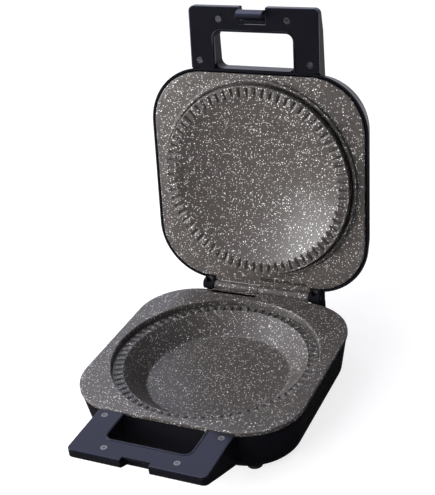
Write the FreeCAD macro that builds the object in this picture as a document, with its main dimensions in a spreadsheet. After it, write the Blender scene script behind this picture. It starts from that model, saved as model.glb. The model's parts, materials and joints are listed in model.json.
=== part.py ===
"""Electric family-size pie maker: a dish below, a domed plate in a hinged lid, a looped handle and a latch.

Millimetres, +Z up. The origin is on the table under the middle of the dish, -Y is the handle side.
The lid's pieces are drawn closed and then turned open about the hinge axis, as the object stands at rest.
"""
import FreeCAD, Part
import math
import os
import types

import Sketcher

# Driving dimensions: name, value in millimetres or degrees (counts are plain), and what it is.
SIZES = [
    ("plate_width", 250, "cast plate, side to side"),
    ("plate_depth", 246, "cast plate, front to rear"),
    ("plate_corner", 61.5, "corner radius of the cast plates"),
    ("plate_back", 2.4, "how far the plate's middle lies behind the dish axis"),
    ("plate_edge", 4.5, "thickness of the plate's flange"),
    ("rim_margin", 10.4, "least flange outside the dish mouth"),
    ("rim_draft", 1, "how much the dish mouth narrows down to the ledge"),
    ("ledge_drop", 6.9, "crimp ledge below the plate's top"),
    ("ledge_width", 12.6, "crimp ledge, in from the dish mouth"),
    ("dish_slope", 22, "run of the dish wall, from the ledge in to the floor"),
    ("dish_depth", 28.5, "dish floor below the plate's top"),
    ("dish_wall", 3.5, "thickness of the cast dish and dome"),
    ("rim_wall", 2, "thickness of the casting outside the dish mouth"),
    ("crimp_count", 70, "crimp teeth in one ring"),
    ("crimp_gap", 3.6, "width of the groove between two teeth"),
    ("crimp_depth", 1.5, "depth of the groove between two teeth"),
    ("crimp_margin", 1.6, "smooth band outside the grooves"),
    ("boss_play", 2, "raised ring of the upper plate inside the dish mouth"),
    ("boss_height", 10, "raised ring above the upper plate's face"),
    ("step_width", 5.9, "foot of the raised ring, out from the ring"),
    ("step_height", 3.2, "height of that foot"),
    ("ring_width", 11.1, "raised ring outside the mouth of the dome"),
    ("dome_depth", 21, "dome crown from the raised ring's face"),
    ("foot_height", 4, "rubber foot below the base"),
    ("foot_radius", 9, "rubber foot"),
    ("foot_stem", 4, "radius of the stem that plugs into the base"),
    ("foot_side", 43, "feet in from the plate's sides"),
    ("foot_front", 23.6, "front feet in from the plate's front"),
    ("foot_rear", 24.4, "rear feet in from the plate's rear"),
    ("base_height", 45, "base shell without its feet"),
    ("base_inset", 1, "base shell inside the plate's outline"),
    ("base_taper", 10, "draft of the base walls, degrees"),
    ("base_round", 6, "rounding of the base's bottom edge"),
    ("lid_height", 33, "lid shell from its rim"),
    ("lid_overhang", 4, "lid shell outside the plate's outline"),
    ("lid_drop", 1.5, "lid rim behind the upper plate's face"),
    ("lid_taper", 15, "draft of the lid walls, degrees"),
    ("lid_round", 10, "rounding of the lid's top edge"),
    ("wall", 2.6, "wall of the shells"),
    ("lid_gap", 3.5, "space between the plates when closed"),
    ("lid_open", 96.4, "lid angle at its open stop, degrees"),
    ("hinge_gap", 9.8, "hinge axis behind the plates"),
    ("knuckle_radius", 5.2, "cast hinge barrel"),
    ("knuckle_end", 57.5, "outer end of the hinge barrels from the middle plane"),
    ("knuckle_split", 3, "where the two barrels meet, left of the middle plane"),
    ("pin_radius", 2.5, "hinge pin"),
    ("ear_inner", 59.5, "inner face of the lid's hinge ears"),
    ("ear_width", 13.5, "hinge ear, side to side"),
    ("ear_radius", 6.5, "round part of the hinge ear"),
    ("ear_height", 13, "hinge ear block behind its face"),
    ("ear_tail", 8, "hinge ear behind the hinge axis"),
    ("ear_face", 1.2, "front face of the ear above the hinge axis, closed"),
    ("lug_drop", 10, "top of the base's stop lugs below the hinge axis"),
    ("lug_thick", 10, "stop lug"),
    ("lug_back", 14, "stop lug behind the hinge axis"),
    ("tab_thick", 3, "plate tab held in the hinge ear"),
    ("handle_width", 150, "handle, side to side"),
    ("handle_drop", 1.2, "handle face behind the plate's face"),
    ("handle_corner", 6, "rounding of the handle's corners"),
    ("handle_edge", 2.5, "rounding of the handle's long edges"),
    ("cover_thick", 3, "inner cover of each handle half"),
    ("cover_edge", 1.2, "rounding of the cover's face edge"),
    ("grip_side", 29, "handle on each side of the finger opening"),
    ("opening_corner", 8, "corner radius of the finger opening"),
    ("lower_reach", 188, "tip of the lower handle from the dish axis"),
    ("lower_rail", 26.5, "lower handle ahead of its finger opening"),
    ("lower_tip", 6.5, "lower handle shell at its tip"),
    ("lower_middle", 16.5, "lower handle shell at the finger opening's front"),
    ("upper_ahead", 5, "tip of the upper handle ahead of the lower one's"),
    ("upper_rail", 27.1, "upper handle ahead of its finger opening"),
    ("upper_tip", 7, "upper handle shell at its tip"),
    ("upper_middle", 13.5, "upper handle shell at the finger opening's front"),
    ("upper_root", 20.5, "upper handle shell where it meets the lid, from the lid's rim"),
    ("screw_side", 10.5, "rear handle screws in from the handle's sides"),
    ("screw_front_side", 35.5, "front handle screws in from the handle's sides"),
    ("screw_rear_back", 32.5, "rear handle screws behind the finger opening's front"),
    ("screw_rail", 13.6, "front handle screws ahead of the finger opening"),
    ("screw_head", 3.4, "screw head radius"),
    ("ear_screw_head", 2.8, "head radius of the screws in the hinge ears"),
    ("screw_head_height", 2, "screw head"),
    ("screw_shank", 1.5, "screw shank radius"),
    ("screw_length", 8, "screw shank of the handle screws"),
    ("screw_cross", 3.8, "length of the cross recess"),
    ("screw_slot", 0.9, "width and depth of the cross recess"),
    ("post_radius", 4.2, "screw post"),
    ("corner_inset", 37, "corner posts in from the plate's edges"),
    ("corner_post", 5.5, "corner post radius"),
    ("corner_boss", 8, "length of the plate's corner bosses"),
    ("counterbore", 8, "depth of the corner screws' counterbores"),
    ("notch_width", 31, "latch notch in both handles"),
    ("catch_lip", 5.5, "edge of the lip that the latch hooks under, behind the lower tip"),
    ("catch_back", 12, "rear wall of the lower notch, behind the lower tip"),
    ("latch_pivot", 10.5, "latch axis behind the lower handle's tip, closed"),
    ("latch_rise", 3, "latch axis behind the upper handle's face"),
    ("latch_reach", 7, "from the latch axis to the middle of its bow"),
    ("latch_lean", 21.8, "how far that line leans forward when hooked, degrees"),
    ("latch_inner", 6.2, "inner radius of the latch's bow"),
    ("latch_outer", 9, "outer radius of the latch's bow"),
    ("latch_barrel", 3, "latch barrel round its pin"),
    ("latch_rest", 16, "turn from the place shown to hooked, degrees"),
    ("latch_toe", 95, "where the bow ends, from straight back, degrees"),
    ("latch_pin", 1.4, "latch pin radius"),
    ("side_play", 0.4, "latch clear of the notch on each side"),
    ("element_out", 6, "lower heating element outside the ledge's inner edge"),
    ("upper_out", 1.4, "upper heating element outside the raised ring's side"),
    ("element_radius", 3.2, "heating element tube"),
    ("element_gap", 30, "open part of the element's ring, degrees"),
    ("element_leg", 12, "cold leg of the element"),
    ("element_pin", 1.2, "terminal pin radius"),
    ("element_pin_length", 7, "terminal pin"),
    ("shield_out", 8, "lower heat shield outside the dish floor"),
    ("upper_shield_in", 1.5, "upper heat shield inside the mouth of the dome"),
    ("shield_sheet", 0.8, "sheet of the heat shields"),
    ("shield_lip", 4, "lip of the heat shields"),
    ("stud_radius", 5, "plate's middle stud"),
    ("stud_length", 10, "stud below the dish"),
    ("upper_stud", 3, "stud above the dome"),
    ("control_radius", 9, "thermostat"),
    ("control_side", 45, "thermostat from the dish axis"),
    ("control_tab", 6, "thermostat terminal"),
    ("cutout_radius", 5.8, "lid cut-out"),
    ("cutout_height", 7, "lid cut-out"),
    ("cutout_out", 1.8, "lid cut-out outside the mouth of the dome"),
    ("cutout_angle", 20, "lid cut-out round from the right, degrees"),
    ("fuse_radius", 2.2, "thermal fuse"),
    ("fuse_length", 14, "thermal fuse, and half its length over the leads"),
    ("fuse_lead", 0.8, "lead radius of the thermal fuse"),
    ("fuse_side", 40, "thermal fuse left of the dish axis"),
    ("fuse_back", 20, "thermal fuse behind the dish axis"),
    ("block_length", 24, "terminal block, side to side"),
    ("block_depth", 16, "terminal block, front to rear"),
    ("block_height", 14, "terminal block"),
    ("block_side", 35, "terminal block in from the plate's left side"),
    ("block_back", 58, "terminal block behind the dish axis"),
    ("inlet_side", 40, "cord inlet left of the middle plane"),
    ("inlet_height", 22, "cord inlet above the table"),
    ("inlet_pad", 24, "flat square round the cord inlet"),
    ("inlet_radius", 6, "bushing body"),
    ("inlet_bore", 4, "bushing bore"),
    ("inlet_flange", 9, "bushing flange radius"),
    ("inlet_flange_thick", 3, "bushing flange"),
    ("inlet_length", 9.5, "bushing body inside its flange"),
    ("light_side", 12, "lights from the middle plane"),
    ("light_front", 86, "lights ahead of the dish axis"),
    ("light_radius", 5, "light lens"),
    ("light_stem", 3.8, "stem of the lens"),
    ("light_dome", 1.6, "height of the lens above the lid"),
    ("lamp_radius", 2.6, "lamp"),
    ("lamp_length", 11, "lamp"),
    ("wire_radius", 0.9, "insulated wire"),
    ("wire_run", 11, "run of a wire beside a terminal"),
    ("seat", 0.05, "clearance where flat faces rest on each other"),
    ("fit", 0.06, "radial clearance of a turning pin"),
    ("hold", 0.02, "radial clearance of a held pin or screw"),
    ("ease", 0.3, "clearance of loose holes and recesses"),
    ("over", 1, "how far a cut runs past the face that it opens"),
]


class Size:
    """A length or an angle, as the expression that binds it to the sheet and as its value now."""

    def __init__(self, text, value):
        self.text = text
        self.value = value

    def __add__(self, other):
        return joined(self, "+", other)

    def __radd__(self, other):
        return joined(other, "+", self)

    def __sub__(self, other):
        return joined(self, "-", other)

    def __rsub__(self, other):
        return joined(other, "-", self)

    def __mul__(self, other):
        return joined(self, "*", other)

    def __rmul__(self, other):
        return joined(other, "*", self)

    def __truediv__(self, other):
        return joined(self, "/", other)

    def __neg__(self):
        return joined(0, "-", self)


def sized(number):
    """A plain number as a Size."""
    return number if isinstance(number, Size) else Size(repr(number), float(number))


def joined(first, sign, second):
    """Two sizes put together by one arithmetic sign."""
    a, b = sized(first), sized(second)
    values = {"+": lambda: a.value + b.value, "-": lambda: a.value - b.value,
              "*": lambda: a.value * b.value, "/": lambda: a.value / b.value}
    return Size(f"({a.text} {sign} {b.text})", values[sign]())


def smaller(first, second):
    """The smaller of two sizes."""
    return Size(f"min({first.text}; {second.text})", min(first.value, second.value))


def sine(angle):
    return Size(f"sin({angle.text})", math.sin(math.radians(angle.value)))


def cosine(angle):
    return Size(f"cos({angle.text})", math.cos(math.radians(angle.value)))


def tangent(angle):
    return Size(f"tan({angle.text})", math.tan(math.radians(angle.value)))


doc = FreeCAD.newDocument("PieMaker")
sheet = doc.addObject("Spreadsheet::Sheet", "Sizes")
for row, (name, value, note) in enumerate(SIZES, start=1):
    sheet.set(f"A{row}", name)
    sheet.set(f"B{row}", str(value))
    sheet.setAlias(f"B{row}", name)
    sheet.set(f"C{row}", note)
doc.recompute()
S = types.SimpleNamespace(**{name: Size(f"Sizes.{name}", float(value)) for name, value, note in SIZES})

# Share of the shorter of two runs that the arc between them takes up in a wire.
ARC_SHARE = 0.45

# Heights and places that several pieces share.
base_top = S.foot_height + S.base_height
plate_under = base_top + S.seat
plate_top = plate_under + S.plate_edge
lid_face = plate_top + S.lid_gap
lid_back = lid_face + S.plate_edge
hinge_z = plate_top + S.lid_gap / 2
plate_front = S.plate_back - S.plate_depth / 2
plate_rear = S.plate_back + S.plate_depth / 2
rim_radius = smaller(S.plate_width, S.plate_depth) / 2 - S.rim_margin
ledge_inner = rim_radius - S.ledge_width
dish_floor = ledge_inner - S.dish_slope
boss_radius = rim_radius - S.boss_play
step_radius = boss_radius + S.step_width
dome_radius = boss_radius - S.ring_width
hinge_back = plate_rear + S.hinge_gap
element_ring = ledge_inner + S.element_out
upper_ring = boss_radius + S.upper_out
shield_radius = dish_floor + S.shield_out
upper_shield_radius = dome_radius - S.upper_shield_in
cutout_ring = dome_radius + S.cutout_out
block_out = S.plate_width / 2 - S.block_side
lower_opening = S.lower_reach - S.lower_rail
upper_reach = S.lower_reach + S.upper_ahead
upper_opening = upper_reach - S.upper_rail
lip_edge = S.lower_reach - S.catch_lip
catch_wall = S.lower_reach - S.catch_back
latch_ahead = S.lower_reach - S.latch_pivot
opening_width = S.handle_width - 2 * S.grip_side
screw_out = S.handle_width / 2 - S.screw_side
screw_front_out = S.handle_width / 2 - S.screw_front_side
dish_under = plate_top - S.dish_depth - S.dish_wall
ledge_under = plate_top - S.ledge_drop - S.crimp_depth - S.dish_wall
lower_element_z = ledge_under - S.seat - S.element_radius
lower_pin_tip = lower_element_z + S.element_radius / 2 - S.element_leg + S.over - S.element_pin_length
shield_top = dish_under - S.stud_length
floor_top = S.foot_height + S.wall
dome_back = lid_face - S.boss_height + S.dome_depth + S.dish_wall
upper_shield_under = dome_back + S.upper_stud + S.seat
lid_top = lid_face + S.lid_drop + S.lid_height
ear_outer = S.ear_inner + S.ear_width
lip_under = plate_top - S.handle_drop - S.cover_thick
latch_z = lid_face + S.handle_drop + S.latch_rise
corner_out = S.plate_width / 2 - S.corner_inset
corner_back = S.plate_depth / 2 - S.corner_inset
corner_spots = [(side * corner_out, S.plate_back + end * corner_back)
                for side in (-1, 1) for end in (-1, 1)]
ear_screw_y = (plate_rear + hinge_back - S.pin_radius) / 2
ear_screws = [(side * (S.ear_inner + S.ear_width / 2), ear_screw_y) for side in (-1, 1)]


class Drawing:
    """A sketch on one of a body's origin planes, drawn with points that are bound to sizes."""

    def __init__(self, body, name, plane="XY_Plane", height=None):
        self.sketch = body.newObject("Sketcher::SketchObject", name)
        support = next(item for item in body.Origin.OriginFeatures if item.Role == plane)
        self.sketch.AttachmentSupport = [(support, "")]
        self.sketch.MapMode = "FlatFace"
        if height is not None:
            self.sketch.setExpression("AttachmentOffset.Base.z", sized(height).text)

    def bind(self, kind, *where, size):
        """A dimension whose value is bound to a size."""
        index = self.sketch.addConstraint(Sketcher.Constraint(kind, *where, size.value))
        self.sketch.setExpression(f"Constraints[{index}]", size.text)

    def place(self, geometry, point, x=None, y=None):
        """Hold a point at sized distances from the sketch's origin, or on an axis where a distance is 0."""
        for kind, axis, distance in (("DistanceX", -2, x), ("DistanceY", -1, y)):
            if distance is None:
                continue
            size = sized(distance)
            if size.value == 0:
                self.sketch.addConstraint(Sketcher.Constraint("PointOnObject", geometry, point, axis))
            elif size.value > 0:
                self.bind(kind, -1, 1, geometry, point, size=size)
            else:
                self.bind(kind, geometry, point, -1, 1, size=-size)

    def polygon(self, points):
        """Straight sides through the points, closed."""
        vectors = [FreeCAD.Vector(sized(x).value, sized(y).value, 0) for x, y in points]
        count = len(points)
        first = self.sketch.GeometryCount
        for i in range(count):
            self.sketch.addGeometry(Part.LineSegment(vectors[i], vectors[(i + 1) % count]), False)
        for i in range(count):
            follower = first + (i + 1) % count
            self.sketch.addConstraint(Sketcher.Constraint("Coincident", first + i, 2, follower, 1))
        for i, (x, y) in enumerate(points):
            self.place(first + i, 1, x, y)
        return self

    def box(self, left, right, low, high):
        """An upright rectangle."""
        return self.polygon([(left, low), (right, low), (right, high), (left, high)])

    def rounded(self, left, right, low, high, radius, rounds=(True, True, True, True)):
        """An upright rectangle with rounded corners, in the order low left, low right, high right, left."""
        edge = [sized(value).value for value in (left, right, low, high)]
        r = sized(radius).value
        corners = [(edge[0], edge[2]), (edge[1], edge[2]), (edge[1], edge[3]), (edge[0], edge[3])]
        along = [(1, 0), (0, 1), (-1, 0), (0, -1)]
        sides = []
        for i in range(4):
            (x0, y0), (x1, y1), (dx, dy) = corners[i], corners[(i + 1) % 4], along[i]
            start = r if rounds[i] else 0
            end = r if rounds[(i + 1) % 4] else 0
            line = Part.LineSegment(FreeCAD.Vector(x0 + dx * start, y0 + dy * start, 0),
                                    FreeCAD.Vector(x1 - dx * end, y1 - dy * end, 0))
            sides.append(self.sketch.addGeometry(line, False))
        arcs = []
        for i in range(4):
            before = sides[(i - 1) % 4]
            if not rounds[i]:
                self.sketch.addConstraint(Sketcher.Constraint("Coincident", before, 2, sides[i], 1))
                continue
            (x, y), (dx, dy), (bx, by) = corners[i], along[i], along[(i - 1) % 4]
            middle = FreeCAD.Vector(x + r * (dx - bx), y + r * (dy - by), 0)
            turn = math.pi + i * math.pi / 2
            circle = Part.Circle(middle, FreeCAD.Vector(0, 0, 1), r)
            arc = self.sketch.addGeometry(Part.ArcOfCircle(circle, turn, turn + math.pi / 2), False)
            self.sketch.addConstraint(Sketcher.Constraint("Tangent", before, 2, arc, 1))
            self.sketch.addConstraint(Sketcher.Constraint("Tangent", arc, 2, sides[i], 1))
            arcs.append(arc)
        for side, kind in zip(sides, ("Horizontal", "Vertical", "Horizontal", "Vertical")):
            self.sketch.addConstraint(Sketcher.Constraint(kind, side))
        self.bind("Radius", arcs[0], size=sized(radius))
        for arc in arcs[1:]:
            self.sketch.addConstraint(Sketcher.Constraint("Equal", arcs[0], arc))
        self.place(sides[0], 1, y=low)
        self.place(sides[1], 1, x=right)
        self.place(sides[2], 1, y=high)
        self.place(sides[3], 1, x=left)
        return self

    def circles(self, spots, radius):
        """Equal circles."""
        for x, y in spots:
            centre = FreeCAD.Vector(sized(x).value, sized(y).value, 0)
            circle = Part.Circle(centre, FreeCAD.Vector(0, 0, 1), sized(radius).value)
            index = self.sketch.addGeometry(circle, False)
            self.bind("Radius", index, size=sized(radius))
            self.place(index, 3, x, y)
        return self

    def dome(self, crown, edge_x, edge_z, foot_z):
        """Half a dome's section: an arc about the upright axis from crown to edge, then down to its foot."""
        top = FreeCAD.Vector(0, crown.value, 0)
        edge = FreeCAD.Vector(edge_x.value, edge_z.value, 0)
        drop = crown.value - edge_z.value
        ball = (edge_x.value ** 2 + drop ** 2) / (2 * drop)
        start = math.asin((edge_z.value - crown.value + ball) / ball)
        circle = Part.Circle(FreeCAD.Vector(0, crown.value - ball, 0), FreeCAD.Vector(0, 0, 1), ball)
        arc = self.sketch.addGeometry(Part.ArcOfCircle(circle, start, math.pi / 2), False)
        foot = FreeCAD.Vector(edge.x, foot_z.value, 0)
        middle = FreeCAD.Vector(0, foot_z.value, 0)
        lines = [self.sketch.addGeometry(Part.LineSegment(a, b), False)
                 for a, b in ((top, middle), (middle, foot), (foot, edge))]
        self.sketch.addConstraint(Sketcher.Constraint("PointOnObject", arc, 3, -2))
        for before, after in ((lines[0], lines[1]), (lines[1], lines[2]), (lines[2], arc), (arc, lines[0])):
            self.sketch.addConstraint(Sketcher.Constraint("Coincident", before, 2, after, 1))
        self.place(arc, 2, 0, crown)
        self.place(arc, 1, edge_x, edge_z)
        self.place(lines[1], 1, 0, foot_z)
        self.place(lines[2], 1, edge_x, foot_z)
        return self


def new_body(label):
    """An empty body whose label names its file."""
    body = doc.addObject("PartDesign::Body", label)
    body.Label = label
    body.AllowCompound = True
    return body


def pad(body, name, drawing, length, down=False, both=False, taper=None):
    """Add a drawing's section along its normal, against it, or half each way."""
    feature = body.newObject("PartDesign::Pad", name)
    feature.Profile = drawing.sketch
    feature.setExpression("Length", sized(length).text)
    feature.Reversed = down
    if both:
        feature.SideType = "Symmetric"
    if taper is not None:
        feature.setExpression("TaperAngle", (-taper).text)
    return feature


def pocket(body, name, drawing, length=None, along=False, both=False, taper=None):
    """Cut a drawing's section against its normal, or along it, by a length or right through."""
    feature = body.newObject("PartDesign::Pocket", name)
    feature.Profile = drawing.sketch
    feature.Reversed = along
    if both:
        feature.SideType = "Symmetric"
    if length is None:
        feature.Type = "ThroughAll"
    else:
        feature.setExpression("Length", sized(length).text)
    if taper is not None:
        feature.setExpression("TaperAngle", (-taper).text)
    return feature


def turned(body, name, drawing, cut=False):
    """Turn a drawing's section about its upright axis, to add or to cut."""
    feature = body.newObject("PartDesign::Groove" if cut else "PartDesign::Revolution", name)
    feature.Profile = drawing.sketch
    feature.ReferenceAxis = (drawing.sketch, ["V_Axis"])
    feature.Angle = 360
    return feature


def round_about(body, name, feature, drawing, count):
    """Repeat a feature evenly round the upright axis."""
    pattern = body.newObject("PartDesign::PolarPattern", name)
    pattern.Originals = [feature]
    pattern.Axis = (drawing.sketch, ["N_Axis"])
    pattern.Angle = 360
    pattern.setExpression("Occurrences", count.text)
    body.Tip = pattern
    return pattern


def soften(body, name, feature, radius, chosen):
    """Round the edges that a test on their middle point and their direction chooses."""
    doc.recompute()
    names = []
    for number, edge in enumerate(feature.Shape.Edges, start=1):
        middle = edge.valueAt((edge.FirstParameter + edge.LastParameter) / 2)
        direction = edge.tangentAt((edge.FirstParameter + edge.LastParameter) / 2)
        if chosen(middle, direction):
            names.append(f"Edge{number}")
    fillet = body.newObject("PartDesign::Fillet", name)
    fillet.Base = (feature, names)
    fillet.setExpression("Radius", sized(radius).text)
    return fillet


def same(first, second):
    """Whether two lengths agree to a hundredth of a millimetre."""
    return abs(first - second) < 0.01


def open_lid_point(y, z):
    """Where a point of the closed lid's middle plane goes when the lid turns open about the hinge axis."""
    dy, dz = y - hinge_back, z - hinge_z
    turn_y = dy * cosine(S.lid_open) + dz * sine(S.lid_open)
    turn_z = dz * cosine(S.lid_open) - dy * sine(S.lid_open)
    return hinge_back + turn_y, hinge_z + turn_z


def hang(piece, origin=(sized(0), sized(0), sized(0)), swing=None):
    """Put a piece drawn in the closed lid, from an origin there, at its place in the open lid."""
    y, z = open_lid_point(origin[1], origin[2])
    angle = S.lid_open if swing is None else S.lid_open + swing
    piece.Placement = FreeCAD.Placement(FreeCAD.Vector(), FreeCAD.Rotation(FreeCAD.Vector(1, 0, 0), -1))
    piece.setExpression("Placement.Base.x", origin[0].text)
    piece.setExpression("Placement.Base.y", y.text)
    piece.setExpression("Placement.Base.z", z.text)
    piece.setExpression("Placement.Rotation.Angle", (-angle).text)
    return piece


def stand(piece, x, y, z):
    """Put a piece drawn about its own origin at its place."""
    for axis, value in zip("xyz", (x, y, z)):
        piece.setExpression(f"Placement.Base.{axis}", sized(value).text)
    return piece


def plate_outline(drawing, grow):
    """The rounded square of the cast plates, larger or smaller all round."""
    return drawing.rounded(-S.plate_width / 2 - grow, S.plate_width / 2 + grow, plate_front - grow,
                           plate_rear + grow, S.plate_corner + grow)


def crimps(body, height, inner, outer, along):
    """A ring of radial grooves, which leaves the crimp teeth standing."""
    drawing = Drawing(body, "crimp_section", height=height)
    drawing.box(-S.crimp_gap / 2, S.crimp_gap / 2, inner, outer)
    groove = pocket(body, "crimp_groove", drawing, S.crimp_depth, along=along)
    return round_about(body, "crimp_ring", groove, drawing, S.crimp_count)


def knuckle(body, start, length, plate_low, plate_high, clearance):
    """A hinge barrel, with the web that joins it to the plate, bored for the pin."""
    web = Drawing(body, "web_section", "YZ_Plane", start)
    web.polygon([(plate_rear - S.knuckle_radius, plate_low), (hinge_back, hinge_z - S.knuckle_radius / 2),
                 (hinge_back, hinge_z + S.knuckle_radius / 2), (plate_rear - S.knuckle_radius, plate_high)])
    pad(body, "web", web, length)
    barrel = Drawing(body, "barrel_section", "YZ_Plane", start)
    barrel.circles([(hinge_back, hinge_z)], S.knuckle_radius)
    pad(body, "barrel", barrel, length)
    bore = Drawing(body, "bore_section", "YZ_Plane", start)
    bore.circles([(hinge_back, hinge_z)], S.pin_radius + clearance)
    pocket(body, "pin_bore", bore, length, along=True)


def lip(body, start, length, low):
    """A strip of flange that reaches back to the other plate's hinge barrel."""
    strip = Drawing(body, "lip_section", height=low)
    strip.box(start, start + length, plate_rear - S.knuckle_radius, hinge_back - S.knuckle_radius - S.ease)
    pad(body, "lip", strip, S.plate_edge)


def make_lower_plate():
    """Cast flange with the dish, its crimp ledge, corner bosses, middle stud and hinge barrel."""
    body = new_body("lower_plate")
    flange = plate_outline(Drawing(body, "flange_section", height=plate_under), sized(0))
    pad(body, "flange", flange, S.plate_edge)
    outside = Drawing(body, "dish_outside", "XZ_Plane")
    flange_middle = plate_under + S.plate_edge / 2
    outside.polygon([(0, flange_middle), (rim_radius + S.rim_wall, flange_middle),
                     (rim_radius + S.rim_wall, ledge_under), (ledge_inner, ledge_under),
                     (dish_floor + S.dish_wall / 2, dish_under), (0, dish_under)])
    turned(body, "dish_casting", outside)
    inside = Drawing(body, "dish_inside", "XZ_Plane")
    ledge = plate_top - S.ledge_drop
    inside.polygon([(0, plate_top + S.over), (rim_radius, plate_top + S.over),
                    (rim_radius - S.rim_draft, ledge), (ledge_inner, ledge),
                    (dish_floor, plate_top - S.dish_depth), (0, plate_top - S.dish_depth)])
    turned(body, "dish", inside, cut=True)
    bosses = Drawing(body, "boss_section", height=plate_under + S.over).circles(corner_spots, S.post_radius)
    pad(body, "bosses", bosses, S.corner_boss + S.over, down=True)
    holes = Drawing(body, "boss_hole_section", height=plate_under - S.corner_boss)
    pocket(body, "boss_holes", holes.circles(corner_spots, S.screw_shank + S.hold), S.corner_boss, along=True)
    stud = Drawing(body, "stud_section", height=dish_under + S.over).circles([(0, 0)], S.stud_radius)
    pad(body, "stud", stud, S.stud_length + S.over, down=True)
    hole = Drawing(body, "stud_hole_section", height=shield_top).circles([(0, 0)], S.screw_shank + S.hold)
    pocket(body, "stud_hole", hole, S.stud_length, along=True)
    half_play = S.side_play / 2
    knuckle(body, -S.knuckle_end, S.knuckle_end - S.knuckle_split - half_play, plate_under, plate_top, S.fit)
    lip(body, half_play - S.knuckle_split, S.knuckle_end + S.knuckle_split - half_play, plate_under)
    crimps(body, ledge, ledge_inner - S.over, rim_radius - S.rim_draft - S.crimp_margin, False)
    return body


def make_upper_plate():
    """Cast flange with the raised crimp ring, the dome, two rear tabs and a hinge barrel."""
    body = new_body("upper_plate")
    flange = plate_outline(Drawing(body, "flange_section", height=lid_face), sized(0))
    pad(body, "flange", flange, S.plate_edge)
    ring = Drawing(body, "ring_section", "XZ_Plane")
    ring.polygon([(0, lid_face + S.plate_edge / 2), (step_radius, lid_face + S.plate_edge / 2),
                  (step_radius, lid_face - S.step_height), (boss_radius, lid_face - S.step_height),
                  (boss_radius, lid_face - S.boss_height), (0, lid_face - S.boss_height)])
    turned(body, "raised_ring", ring)
    hood = Drawing(body, "dome_outside", "XZ_Plane")
    hood.dome(dome_back, dome_radius + S.dish_wall, lid_face + S.plate_edge / 2, lid_face)
    turned(body, "dome_casting", hood)
    hollow = Drawing(body, "dome_inside", "XZ_Plane")
    ring_face = lid_face - S.boss_height
    hollow.dome(dome_back - S.dish_wall, dome_radius, ring_face, ring_face - S.over)
    turned(body, "dome", hollow, cut=True)
    tabs = Drawing(body, "tab_section", height=lid_back - S.over)
    tab_inner, tab_outer = S.ear_inner + S.ease, ear_outer - S.wall
    for left, right in ((-tab_outer, -tab_inner), (tab_inner, tab_outer)):
        tabs.box(left, right, plate_rear - S.corner_post, ear_screw_y + S.ear_screw_head)
    pad(body, "tabs", tabs, S.tab_thick + S.over)
    holes = Drawing(body, "tab_hole_section", height=lid_back + S.tab_thick + S.over)
    pocket(body, "tab_holes", holes.circles(ear_screws, S.screw_shank + S.ease), S.tab_thick + 3 * S.over)
    stud = Drawing(body, "stud_section", height=dome_back - S.over).circles([(0, 0)], S.stud_radius)
    pad(body, "stud", stud, S.upper_stud + S.over)
    hole = Drawing(body, "stud_hole_section", height=dome_back + S.upper_stud)
    pocket(body, "stud_hole", hole.circles([(0, 0)], S.screw_shank + S.hold), S.upper_stud)
    start = -S.knuckle_split + S.side_play / 2
    knuckle(body, start, S.knuckle_end - start, lid_face, lid_back, S.hold)
    lip(body, -S.knuckle_end, S.knuckle_end + start - S.side_play, lid_face)
    crimps(body, ring_face, dome_radius - S.over, boss_radius - S.crimp_margin, True)
    return hang(body)


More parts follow.
